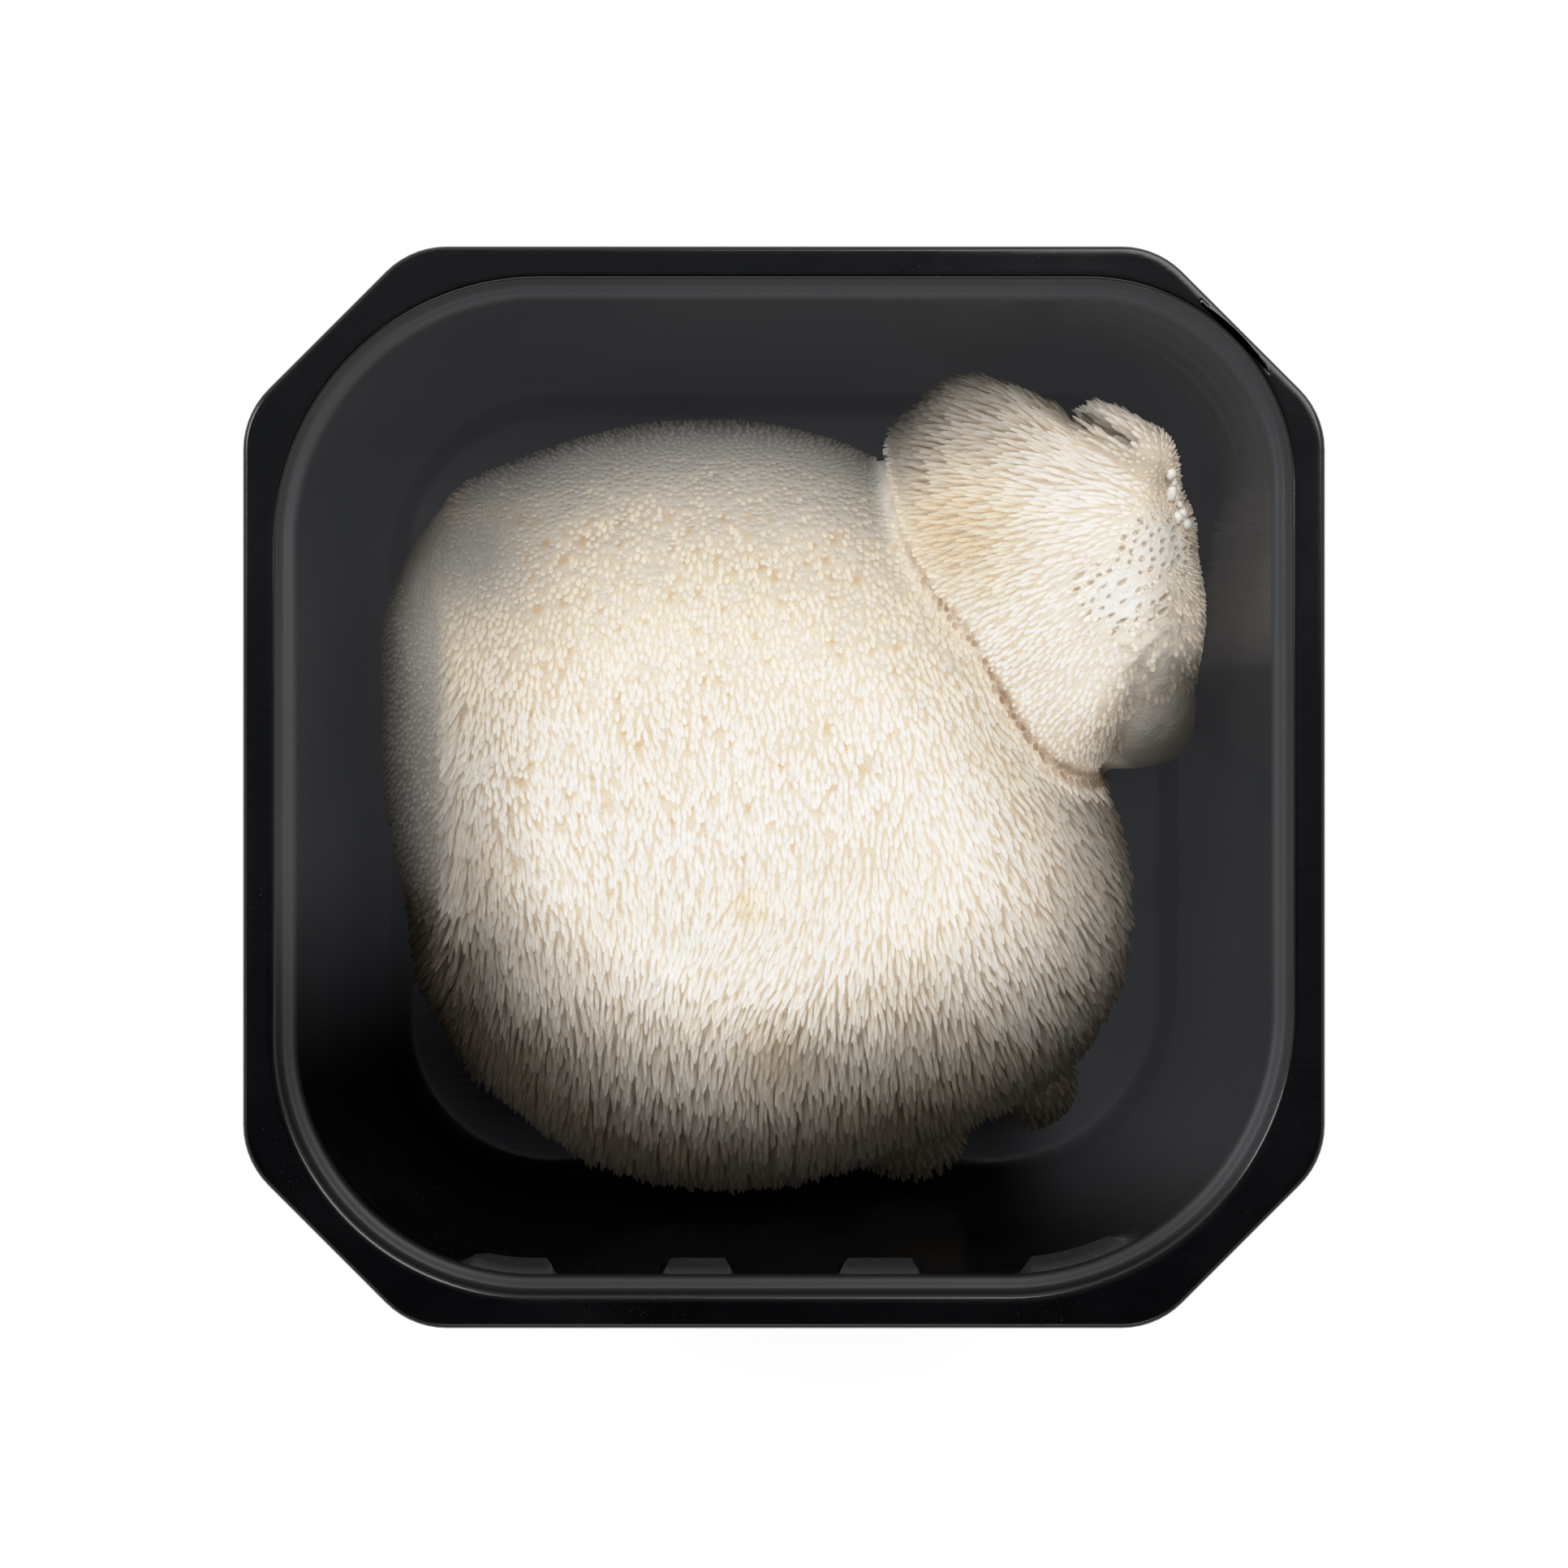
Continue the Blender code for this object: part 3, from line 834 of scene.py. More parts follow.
def knobbly(points):
    """Where the side lobe's right shoulder is knobbly instead of spiny."""
    return bump(points, (53, 18), (8, 11)) * smooth_step(30, 36, points[:, 2])


def far_left_shoulder(points):
    """Where the body's upper left corner is bare and soft, outside the edge of its spiny crown."""
    return bump(points, (-44, 33), (10, 9))


def build_flesh(material):
    """The skin under the spines, with soft lumps, and the pores of the side lobe's crown."""
    mesh = joined_lobes()
    soften_creases(mesh)
    places = per_vertex(mesh, "co")
    lumps = 0.34 * field(places, 7.0, 3.1) + 0.12 * field(places, 2.4, 8.3) + 0.05 * field(places, 1.1, 5.2)
    lumps += knobbly(places) * (0.55 * field(places, 1.5, 6.6) + 0.3 * field(places, 0.9, 2.2))
    lumps -= 0.8 * near_line(places, FOLD, 1.0) + 0.8 * near_line(places, CLEFT, 0.9)
    lumps *= smooth_step(BASE_HEIGHT + 0.5, BASE_HEIGHT + 5, places[:, 2])
    places = places + per_vertex(mesh, "normal") * lumps[:, None]
    places[:, 2] = np.maximum(places[:, 2], BASE_HEIGHT)
    move_vertices(mesh, places)
    bm = bmesh.new()
    bm.from_mesh(mesh)
    carve_pores(bm)
    bm.to_mesh(mesh)
    bm.free()
    mesh.shade_smooth()
    mesh.materials.clear()
    mesh.materials.append(material)
    mesh.name = "flesh"
    return linked("flesh", mesh)


SIDE_SOURCE = (64.0, 40.0)  # the place in plan that the side lobe's spines run away from
SIDES = 5
RING_SHARES = (0.0, 0.38, 0.68, 0.90)
RING_WIDTHS = (0.66, 0.88, 1.0, 0.68)
FLATNESS = 0.55
ROOT_DEPTH = 0.25
BEND = 0.38  # the share of a spine's length that comes before its bend
MOST_SPINES = 5700
DARTS_PER_SQUARE_MM = 5
CELL = 1.7  # not less than the widest spacing, so that neighbours are in neighbouring cells
NEIGHBOURS = tuple((x, y, z) for x in (-1, 0, 1) for y in (-1, 0, 1) for z in (-1, 0, 1))
SOFTNESS = 0.78  # how far the shading of a spine leans from its own roundness to the skin that it grows from


def spacing_at(points):
    """How far apart the spines stand: close where they are seen, wider low down and underneath."""
    low = smooth_step(30, 12, points[:, 2])
    side = smooth_step(0.06, -0.02, depth_in("side", points) - 1)
    return 0.76 - 0.04 * side + 0.74 * low


def spaced_out(points, spacing):
    """Which points to keep, taken in turn, so that none comes closer to one kept before than its spacing."""
    grid = {}
    kept = []
    for index, (x, y, z) in enumerate(np.floor(points / CELL).astype(int).tolist()):
        here = points[index]
        limit = spacing[index] ** 2
        others = (other for dx, dy, dz in NEIGHBOURS for other in grid.get((x + dx, y + dy, z + dz), ()))
        if all((here - other) @ (here - other) >= limit for other in others):
            grid.setdefault((x, y, z), []).append(here)
            kept.append(index)
    return kept


def scattered(mesh):
    """Even but random places on a skin, with its normals there."""
    rng = np.random.default_rng(SEED)
    places = per_vertex(mesh, "co")
    normals = per_vertex(mesh, "normal")
    triangles = triangles_of(mesh)
    a, b, c = (places[triangles[:, corner]] for corner in range(3))
    areas = np.linalg.norm(np.cross(b - a, c - a), axis=1) / 2
    heights = (a[:, 2] + b[:, 2] + c[:, 2]) / 3
    areas = np.where(heights > BASE_HEIGHT + 1.0, areas, 0)
    count = int(areas.sum() * DARTS_PER_SQUARE_MM)
    chosen = rng.choice(len(triangles), count, p=areas / areas.sum())
    u = rng.random(count)
    v = rng.random(count)
    flip = u + v > 1
    u[flip] = 1 - u[flip]
    v[flip] = 1 - v[flip]
    weights = np.stack((1 - u - v, u, v), 1)[:, :, None]
    corners = triangles[chosen]
    points = (places[corners] * weights).sum(1)
    ways = unit((normals[corners] * weights).sum(1))
    kept = spaced_out(points, spacing_at(points))
    return points[kept], ways[kept]


def pull_at(owner, points):
    """The way that spines are drawn at each place."""
    x, y, _ = points.T
    ones = np.ones(len(points))
    tilt = 0.35 * bump(points, (-35, -5), (14, 22))
    tilt -= 0.50 * bump(points, (-3, -25), (10, 12))
    tilt += 0.35 * smooth_step(10, 34, x)
    tilt -= 0.60 * smooth_step(-41, -52, x)
    tilt += 0.16 * field(points, 9.0, 11.0)
    body = np.stack((tilt, -1.0 * ones, -0.15 * ones), 1)
    beyond = y - SIDE_SOURCE[1]
    side = np.stack((x - SIDE_SOURCE[0], beyond * np.where(beyond > 0, 0.62, 1.1), -0.6 * ones), 1)
    side[:, 1] += 3.0 * field(points, 6.0, 4.0)
    tuft = np.array((-0.84, 0.54, 0.02))
    pull = np.where(np.isin(owner, BODY_PARTS)[:, None], unit(body), unit(side))
    return np.where((owner == TUFT)[:, None], unit(tuft), pull)


def lengths_at(owner, points, normals, pull, clear):
    """Spines are short where they grow against their pull, in the creases and at the foot."""
    x, y, z = points.T
    along = (normals * pull).sum(1)
    body = np.interp(along, (-1, -0.8, -0.6, -0.45, -0.3, -0.15, 0.1, 0.6, 1.0),
                     (0.8, 1.0, 1.6, 2.2, 2.7, 3.1, 3.4, 4.2, 4.4))
    shelf = smooth_step(-46, -50, x) * smooth_step(-26, -14, y)
    body = body * (1 - 0.75 * shelf) * np.interp(y, (-32, -5, 22), (1.15, 0.95, 0.80))
    fringe = np.exp(-((x + 46.5) / 3.0) ** 2) * smooth_step(-30, -20, y) * smooth_step(22, 8, y)
    body = body * (1 + 0.5 * fringe) * (1 - 0.75 * far_left_shoulder(points))
    edge = np.interp(y, (0, 12, 25, 36, 45, 55), (46, 49, 49, 51, 54, 54))
    longest = np.interp(y, (0, 15, 28, 40, 55), (1.6, 2.0, 2.8, 4.2, 4.4))
    side = 1.15 + (longest - 1.15) * smooth_step(edge + 2, edge - 9, x) + 0.3 * knobbly(points)
    side = side * np.interp(along, (-1, -0.6, -0.2, 0.3, 0.6, 1.0), (0.9, 0.95, 1.0, 1.0, 0.85, 0.7))
    tuft = np.interp(0.71 * (y - 46.8 - x + 50.5), (-3, 0.5, 3.5, 6), (0.9, 1.3, 3.2, 4.8))
    feet = 3.0
    lengths = np.select([owner == BODY, owner == SIDE, owner == TUFT], [body, side, tuft], feet)
    crease = np.where(owner == TUFT, 1.0, np.clip(0.30 + clear / 0.16, 0, 1))
    foot = np.clip((z - BASE_HEIGHT) / 8, 0.2, 1)
    foot = foot * (1 - 0.4 * smooth_step(-38, -46, y) * smooth_step(38, 26, z))
    return lengths * crease * foot


def kept_in_tray(tips):
    """Tips moved in from the tray's walls, floor and rim level."""
    tips[:, 2] = np.clip(tips[:, 2], BASE_HEIGHT + GAP, TIP_CEILING)
    room = (wall_half(tips[:, 2]) - WALL_CLEARANCE)[:, None]
    tips[:, :2] = np.clip(tips[:, :2], -room, room)
    return tips


def bent(roots, first, last, lengths):
    """Where each spine bends and ends, from the ways of its first and last part."""
    middle = roots + first * (lengths * BEND)[:, None]
    return middle, kept_in_tray(middle + last * (lengths * (1 - BEND))[:, None])


def spine_paths(owner, roots, normals, pull, lengths):
    """Each spine's bend, its tip, and its length once its tip is clear of the other cluster."""
    on_side = np.isin(owner, SIDE_PARTS)
    out = (normals * pull).sum(1)
    droop = smooth_step(0.15, 0.85, out)[:, None] * np.array((0.0, 0.0, -0.75))
    flow = pull - normals * np.minimum(out, 0)[:, None]
    lift = np.interp(out, (-1.0, -0.6, -0.3, 0.0), (0.9, 0.5, 0.10, 0.0))
    lift += np.where(on_side, 0.20 + 0.40 * smooth_step(2.0, 1.0, lengths), 0.46)
    last_lift = lift - np.where(on_side, 0.14, 0.34)
    first = unit(flow + lift[:, None] * normals + 0.5 * droop)
    last = unit(flow + last_lift[:, None] * normals + droop)
    middle, tips = bent(roots, first, last, lengths)
    for _ in range(4):
        crossing = apart(owner, lobe_depths(tips)) < 0.03
        lengths = np.where(crossing, 0.68 * lengths, lengths)
        middle, tips = bent(roots, first, last, lengths)
    return middle, tips, lengths


def spine_widths(rng, owner, roots, lengths, out):
    """Each spine's half width: less where it is short, more where it grows against its pull."""
    crown = smooth_step(-34, -14, roots[:, 1])
    width = np.where(np.isin(owner, SIDE_PARTS), 0.36, 0.32 + 0.05 * crown)
    width = width * rng.uniform(0.85, 1.15, len(roots))
    width = np.minimum(width, 0.27 + 0.07 * lengths) * (1 + 0.5 * knobbly(roots))
    against = smooth_step(-0.02, -0.40, out) * smooth_step(-0.95, -0.70, out)
    return width * (1 + 0.34 * (owner == BODY) * against)


def spine_tints(rng, owner, roots, clear, out):
    """How light, brown, warm and grey each spine is, for its material. The brown and the grey are partly
    painted shade.
    """
    x, y, z = roots.T
    on_body = owner == BODY
    on_side = np.isin(owner, SIDE_PARTS)
    tint = rng.normal(0.55, 0.24, len(roots)) + 0.25 * field(roots, 3.5, 31.0)
    # The seam between the lobes: brown that is partly the flesh's own colour and partly painted shade in the
    # crease.
    seam = smooth_step(0.055, 0.015, clear) + 0.22 * smooth_step(0.14, 0.02, clear) * on_body
    seam = seam * (z > 24) * (on_body | (owner == SIDE))
    # Painted shade, in brown, low on the left flank.
    low_left_painted_shade = smooth_step(-39, -48, x) * smooth_step(-6, -16, y) * smooth_step(42, 28, z)
    brown = 0.75 * np.maximum(seam * smooth_step(10, 24, x), low_left_painted_shade)
    warm = greatest(
        np.clip(0.10 + 0.28 * field(roots, 12.0, 17.0), 0, 1),
        0.5 * on_body * pit_shares(roots, 0.0, 1.2, 1.4),
        0.6 * bump(roots, (-0.5, -36), (6, 6)),
        0.9 * bump(roots, (-4.7, -15), (2.6, 3.2)),
        0.9 * on_side * bump(roots, (26, 36), (12, 10)),
        0.52 * on_body * smooth_step(0, 26, y),
    )
    # Greyer: the bare skin's own grey where spines grow against their pull, and partly painted shade on the
    # left shelf and the far-left shoulder. A small patch low on the left gets a painted cooler tone of light.
    grey = greatest(
        smooth_step(-0.18, -0.88, out) * on_body,
        0.8 * smooth_step(-45, -50, x) * smooth_step(-24, -8, y),
        0.25 * bump(roots, (-31, -25), (7, 5)),
        0.8 * far_left_shoulder(roots),
    )
    return {"tint": np.clip(tint, 0, 1), "brown": np.clip(brown, 0, 1), "warm": warm, "grey": grey}


def spine_field(mesh):
    """Every spine of the mushroom: its root, its bend, its tip, its thickness and its tints."""
    rng = np.random.default_rng(SEED + 1)
    roots, normals = scattered(mesh)
    depths = lobe_depths(roots)
    owner = np.abs(depths - 1).argmin(1)
    on_body = owner == BODY
    on_side = np.isin(owner, SIDE_PARTS)
    clear = apart(owner, depths)
    jitter = np.stack([field(roots, 2.6, shift) for shift in (21.0, 22.0, 23.0)], 1) * 0.24
    jitter += rng.normal(0, 0.10, roots.shape)
    pull = unit(pull_at(owner, roots) + jitter * np.where(on_body, 1.0, 0.6)[:, None])
    out = (normals * pull).sum(1)

    lengths = lengths_at(owner, roots, normals, pull, clear) * rng.uniform(0.82, 1.15, len(roots))
    pore = np.maximum(bump(roots, *ROUND_PORES), 0.9 * bump(roots, LONG_PORES[0], (4.0, 6.4)))
    lengths = np.where(on_side, lengths * (1 - 0.75 * pore), lengths)
    above_pit = pit_shares(roots, 1.3, 1.2, 2.2)
    lengths = np.where(on_body, lengths * (1 - 0.5 * above_pit), lengths)
    pitted = on_body & (pit_shares(roots, 0.0, 1.0, 1.4) > 0.48)
    bare_pore = on_side & (pore > 0.62) & (roots[:, 2] > 34)
    sparse = rng.random(len(roots)) < 0.75 * knobbly(roots)
    middle, tips, lengths = spine_paths(owner, roots, normals, pull, lengths)

    parts = {
        "owner": owner, "root": roots, "start": roots - normals * ROOT_DEPTH, "middle": middle, "tip": tips,
        "normal": normals, "width": spine_widths(rng, owner, roots, lengths, out),
        **spine_tints(rng, owner, roots, clear, out), "low": painted_flank_shade(roots, normals, clear),
    }
    keep = ~pitted & ~bare_pore & ~sparse & (owner != SIDE_LOW) & (lengths > 0.6) & (clear > 0.020)
    return {name: array[keep] for name, array in parts.items()}


def outwardness(name, points):
    """How far out in plan each point is: 0 over the middle of a lobe, 1 at its widest outline."""
    lobe = LOBES[name]
    offset = points[:, :2] - np.array(lobe.centre[:2])
    return np.hypot(*offset.T) / plan_radii(lobe.plan, np.arctan2(offset[:, 1], offset[:, 0]))


def body_painted_shade(points):
    """How much painted shade the body's flesh gets towards its outline. On the near half the painted shade
    starts later and goes further.
    """
    x, y, _ = points.T
    out = outwardness("body", points)
    far = smooth_step(-10, 25, y)
    later = 0.10 * smooth_step(-24, -12, y) * (x < 0) + 0.09 * smooth_step(14, 38, x) - 0.08
    later += 0.06 * smooth_step(-30, -12, y) * smooth_step(8, 22, x) + 0.06 * bump(points, (-33, -25), (8, 6))
    later -= 0.045 * smooth_step(-24, -36, y)
    near_rise = np.interp(out - later, (0.52, 0.62, 0.69, 0.76, 0.84, 0.92, 1.0),
                          (0, 0.28, 0.45, 0.60, 0.76, 0.92, 1))
    far_rise = np.interp(out, (0.46, 0.56, 0.74, 0.84, 0.93, 1.0), (0, 0.14, 0.34, 0.50, 0.69, 0.88))
    edge = (1 - far) * near_rise + far * far_rise
    edge += 0.20 * bump(points, (-42, 33), (11, 10))
    return edge - 0.07 * smooth_step(-36, -46, x) * smooth_step(-24, -8, y)


def side_lobe_painted_shade(points, right, tip):
    """How much painted shade the side lobe's flesh gets: at its outline, its right, its top and its low lobe.
    """
    x, y, _ = points.T
    rim = smooth_step(0.60, 1.04, outwardness("side", points)) * (0.62 + 0.30 * smooth_step(36, 52, y))
    down_right = np.interp(x, (48, 53.4, 57.6, 60), (0, 0.34, 0.66, 0.82)) * smooth_step(14, 22, y)
    top = np.interp(y, (36, 42, 47, 52, 57), (0.06, 0.30, 0.54, 0.72, 0.88))
    top = top * (1 - 0.4 * smooth_step(30, 42, x)) + 0.22 * smooth_step(30, 17, x)
    low_lobe = np.interp(x - 45 + 0.55 * (17 - y), (1, 5, 9, 13, 17), (0, 0.36, 0.64, 0.84, 0.92))
    return greatest(
        rim * (1 - right) * (1 - 0.9 * tip),
        down_right,
        top,
        0.30 * bump(points, (26, 37), (12, 10)),
        low_lobe * smooth_step(25, 17, y),
    )


def painted_flank_shade(points, normals, clear):
    """0 on the crowns, rising to 1 down the flanks: painted shade that darkens the flesh on the flanks, at
    the outlines and in the creases.
    """
    x, y, z = points.T
    depths = lobe_depths(points)
    side = smooth_step(-0.03, 0.03, depths[:, BODY] - depths[:, SIDE_PARTS].min(1))
    near = smooth_step(-15, -45, y)
    right = smooth_step(40, 50, x) * smooth_step(12, 20, y)
    tip = bump(points, (38, 7), (9, 9)) * side
    deep = smooth_step(47, 18, z - 8 * near + 24 * right + 6 * smooth_step(10, 40, y) + 12 * tip)
    steep = (0.75 + 0.15 * near - 0.4 * side) * smooth_step(0.90, 0.35, normals[:, 2]) * (1 - 0.7 * tip)
    steep = steep * smooth_step(0.04, 0.30, clear)
    edge = body_painted_shade(points) * (1 - side) + side_lobe_painted_shade(points, right, tip) * side
    edge = edge * smooth_step(0.0, 0.12, clear)
    # Painted shade along the fold and the cleft, and in a patch low on the body.
    edge += 0.12 * near_line(points, FOLD, 0.9) * side + 0.55 * near_line(points, CLEFT, 0.8) * side
    total = greatest(deep, steep, edge) + 0.15 * bump(points, (1.3, -35), (6, 3.5))
    total = total * (1 - 0.85 * smooth_step(0.62, 0.90, normals[:, 0]) * side * smooth_step(16, 24, y))
    total = np.clip(total, 0, 1)
    return total * (0.86 + 0.14 * total)


PIT_TRIES = 1400
PIT_SPACING = 2.1


@functools.cache
def pit_places():
    """Small tan pits in the upper half of the body, each a place in plan and a size."""
    rng = np.random.default_rng(SEED + 9)
    made = []
    places = np.stack(
        (rng.uniform(-39, 16, PIT_TRIES), rng.uniform(-10, 38, PIT_TRIES), np.zeros(PIT_TRIES)), 1)
    upper_left = smooth_step(-4, 24, places[:, 1]) * smooth_step(6, -8, places[:, 0])
    likely = 0.22 + 0.5 * field(places, 5.0, 14.0) + 0.26 * upper_left
    sizes = 0.34 + 0.42 * rng.random(PIT_TRIES) ** 2
    chance = rng.random(PIT_TRIES)
    for (x, y, _), size, wanted, draw in zip(places, sizes, likely, chance):
        if draw < wanted and none_near(made, x, y, PIT_SPACING):
            made.append((x, y, size))
    return made


def pit_shares(points, shift, wide, long):
    """How near each point is to a pit, or to a place just up from one."""
    shares = np.zeros(len(points))
    for x, y, size in pit_places():
        shares = np.maximum(shares, bump(points, (x, y + shift), (size * wide, size * long)))
    return shares


def spine_faces():
    """The faces of one spine, by the numbers of its vertices: rings of sides, and a point."""
    last = (len(RING_SHARES) - 1) * SIDES
    faces = []
    for low in range(0, last, SIDES):
        for side in range(SIDES):
            turn = (side + 1) % SIDES
            faces.append((low + side, low + turn, low + SIDES + turn, low + SIDES + side))
    return faces + [(last + side, last + (side + 1) % SIDES, last + SIDES) for side in range(SIDES)]


def spine_mesh(name, spines, chosen, material):
    """Many spines as one mesh. Each is a bent, tapering body with a rounded point."""
    start, middle, tip, normal, width = (
        spines[key][chosen] for key in ("start", "middle", "tip", "normal", "width"))
    rings = []
    along = []
    ridge = []
    for share, thick in zip(RING_SHARES, RING_WIDTHS):
        place = (1 - share) ** 2 * start + 2 * share * (1 - share) * middle + share ** 2 * tip
        way = unit((1 - share) * (middle - start) + share * (tip - middle))
        across = unit(np.cross(way, normal + 0.01))
        inward = np.cross(way, across)
        for side in range(SIDES):
            angle = math.tau * side / SIDES + 0.3
            offset = across * math.cos(angle) + inward * (FLATNESS * math.sin(angle))
            rings.append(place + offset * (width * thick)[:, None])
            along.append(share)
            # The ridge value is 1 along the top of a spine and 0 underneath, for its painted shade.
            ridge.append(float(smooth_step(-0.50, 0.75, -math.sin(angle))))
    rings.append(tip)
    along.append(1.0)
    ridge.append(0.9)
    count = len(start)
    per_spine = len(rings)
    faces = spine_faces()
    corners = np.array([corner for face in faces for corner in face])
    corners = (corners[None, :] + np.arange(count)[:, None] * per_spine).ravel()
    sizes = np.tile([len(face) for face in faces], count)
    obj = mesh_object(name, np.stack(rings, 1).reshape(-1, 3), corners, sizes, material)
    skin = np.repeat(normal, per_spine, axis=0)
    blended = unit((1 - SOFTNESS) * per_vertex(obj.data, "normal") + SOFTNESS * skin)
    obj.data.normals_split_custom_set_from_vertices([tuple(way) for way in blended])
    # Spines cast no shadows. Painted shade on their roots and sides takes the place of these.
    obj.visible_shadow = False
    tints = {
        key: np.repeat(spines[key][chosen], per_spine) for key in ("tint", "brown", "warm", "grey", "low")
    }
    add_values(obj, along=np.tile(along, count), ridge=np.tile(ridge, count), **tints)
    return obj


# The body's spines in pieces from near to far, each with the place along Y where it begins.
BODY_PIECES = (
    ("spines_foot", -99), ("spines_near", -40), ("spines_lower", -27), ("spines_middle", -13),
    ("spines_upper", 2), ("spines_shoulder", 17), ("spines_far", 34),
)


def build_spines(flesh, material):
    """The spines in a few pieces by where they grow, each small enough to handle."""
    spines = spine_field(flesh.data)
    side = np.isin(spines["owner"], SIDE_PARTS)
    piece = np.digitize(spines["root"][:, 1], [start for _, start in BODY_PIECES]) - 1
    pieces = {"spines_side_lobe": side}
    pieces.update((name, ~side & (piece == index)) for index, (name, _) in enumerate(BODY_PIECES))
    if max(chosen.sum() for chosen in pieces.values()) > MOST_SPINES:
        raise ValueError("a piece has too many spines")
    return [spine_mesh(name, spines, chosen, material) for name, chosen in pieces.items()]


# The drops' places in plan, down the side lobe's right shoulder.
BEADS = ((54.4, 44.4), (54.9, 43.2), (55.6, 42.4), (55.2, 41.2), (55.9, 40.1), (56.4, 38.9), (55.5, 38.2),
         (57.0, 37.4), (54.6, 41.9))
BEAD_LIFT = 0.5
ABOVE_ALL = 80


def build_beads(flesh, material):
    """A short row of rounded glassy drops on the side lobe's right shoulder."""
    bm = bmesh.new()
    bm.from_mesh(flesh.data)
    tree = BVHTree.FromBMesh(bm)
    bm.free()
    rng = np.random.default_rng(SEED + 3)
    beads = bmesh.new()
    for x, y in BEADS:
        place, normal, _, _ = tree.ray_cast(Vector((x, y, ABOVE_ALL)), Vector((0, 0, -1)))
        size = rng.uniform(0.6, 0.95)
        spin = rng.uniform(0, math.pi)
        stretch = rng.uniform(1.0, 1.5)
        turn = normal.to_track_quat("Z", "Y").to_matrix()
        made = bmesh.ops.create_icosphere(beads, subdivisions=3, radius=1)
        for vert in made["verts"]:
            x0, y0, z0 = vert.co * size
            vert.co = place + turn @ Vector((*turned(x0 * stretch, y0, spin), z0 * 0.8)) + normal * BEAD_LIFT
    return small_things(beads, "beads", material)


# Groups of dried specks on the rim: place in plan, spread, how many, and size.
SPECKS = (
    ((-53.2, 69.6), 1.0, 4, 0.35), ((-44.5, 71.6), 3.5, 8, 0.16), ((-37.0, 72.2), 2.0, 6, 0.16),
    ((-67.5, 42.5), 1.2, 4, 0.22), ((-47.8, -63.6), 0.9, 4, 0.40), ((-44.8, -72.2), 0.7, 2, 0.55),
    ((72.6, 44.0), 1.0, 5, 0.35), ((72.9, 36.0), 1.4, 7, 0.35), ((72.4, 27.0), 1.2, 5, 0.35),
    ((72.8, 14.0), 2.2, 5, 0.2), ((72.2, -8.0), 6.0, 6, 0.18), ((60.0, -66.5), 0.6, 2, 0.6),
    ((54.0, -71.0), 3.0, 6, 0.2), ((66.8, -50.5), 0.9, 3, 0.3), ((-66.5, -34.0), 1.5, 4, 0.25),
    ((-20.0, 72.5), 12.0, 8, 0.12), ((25.0, 72.4), 12.0, 6, 0.12), ((-72.6, -5.0), 16.0, 8, 0.12),
)
SPECK_LIMIT = 73.6
SPECK_LEVEL = TRAY_HEIGHT - 0.06
SPECK_THICKNESS = 0.05


def off_the_rim(x, y):
    """Whether a place in plan lies past a cut corner, or over the well."""
    if max(abs(x), abs(y)) < WELL_HALF - 10 or abs(x) + abs(y) > 2 * TRAY_HALF - CORNER_CUT - 2.5:
        return True
    corner = max(range(4), key=lambda quarter: x * QUARTERS[quarter][0] + y * QUARTERS[quarter][1])
    radius = WELL_CORNERS[corner]
    across = WELL_HALF - radius
    return math.hypot(max(0.0, abs(x) - across), max(0.0, abs(y) - across)) < radius + 0.3


def build_specks(material):
    """Dried specks left on the rim, small flat flakes that lie on it."""
    rng = np.random.default_rng(SEED + 7)
    bm = bmesh.new()
    for centre, spread, count, size in SPECKS:
        for _ in range(count):
            x = np.clip(centre[0] + rng.uniform(-1, 1) * spread, -SPECK_LIMIT, SPECK_LIMIT)
            y = np.clip(centre[1] + rng.uniform(-1, 1) * spread, -SPECK_LIMIT, SPECK_LIMIT)
            if off_the_rim(x, y):
                continue
            made = bmesh.ops.create_icosphere(bm, subdivisions=2, radius=1)
            radii = rng.uniform(0.4, 1.0, 2) * size
            turn = rng.uniform(0, math.pi)
            for vert in made["verts"]:
                rough = 1 + 0.35 * noise.noise(vert.co * 1.7 + Vector((x, y, 0)))
                dx, dy = turned(vert.co.x * radii[0] * rough, vert.co.y * radii[1] * rough, turn)
                vert.co = (x + dx, y + dy, SPECK_LEVEL + vert.co.z * SPECK_THICKNESS)
    return small_things(bm, "rim_specks", material)


FLOOR_REACH = 1.5
LENS = 83.0
CAMERA_PLACE = (0, 0.00045, 0.555)
LIGHT_TARGET = (0, 0, 0.03)
# The lights: place, width and height in metres, power in watts, and colour.
LIGHTS = {
    "key": ((0.46, 0.62, 1.0), (0.85, 0.85), 10.6, (1.0, 0.985, 0.97)),
    "left": ((-0.78, 0.32, 0.85), (0.30, 0.60), 3.5, (0.94, 0.97, 1.0)),
    "near": ((0.10, -0.75, 0.95), (0.60, 0.30), 1.2, (1.0, 1.0, 1.0)),
}
TONE_WHITE = 1.4
TONE = ((0.05, 0.04), (0.15, 0.125), (0.30, 0.26), (0.50, 0.46), (0.75, 0.70), (1.0, 0.86))


def build_floor():
    """A plain pale floor that is a little brighter than the light alone makes it."""
    mesh = bpy.data.meshes.new("floor")
    corners = [(x * FLOOR_REACH, y * FLOOR_REACH, 0) for x, y in ((-1, -1), (1, -1), (1, 1), (-1, 1))]
    mesh.from_pydata(corners, [], [(0, 1, 2, 3)])
    material, tree, shader = new_material("pale_floor")
    fill(tree, shader, {
        "Base Color": opaque(0.93), "Roughness": 0.9, "Emission Color": opaque(1), "Emission Strength": 0.95,
    })
    mesh.materials.append(material)
    floor = linked("floor", mesh)


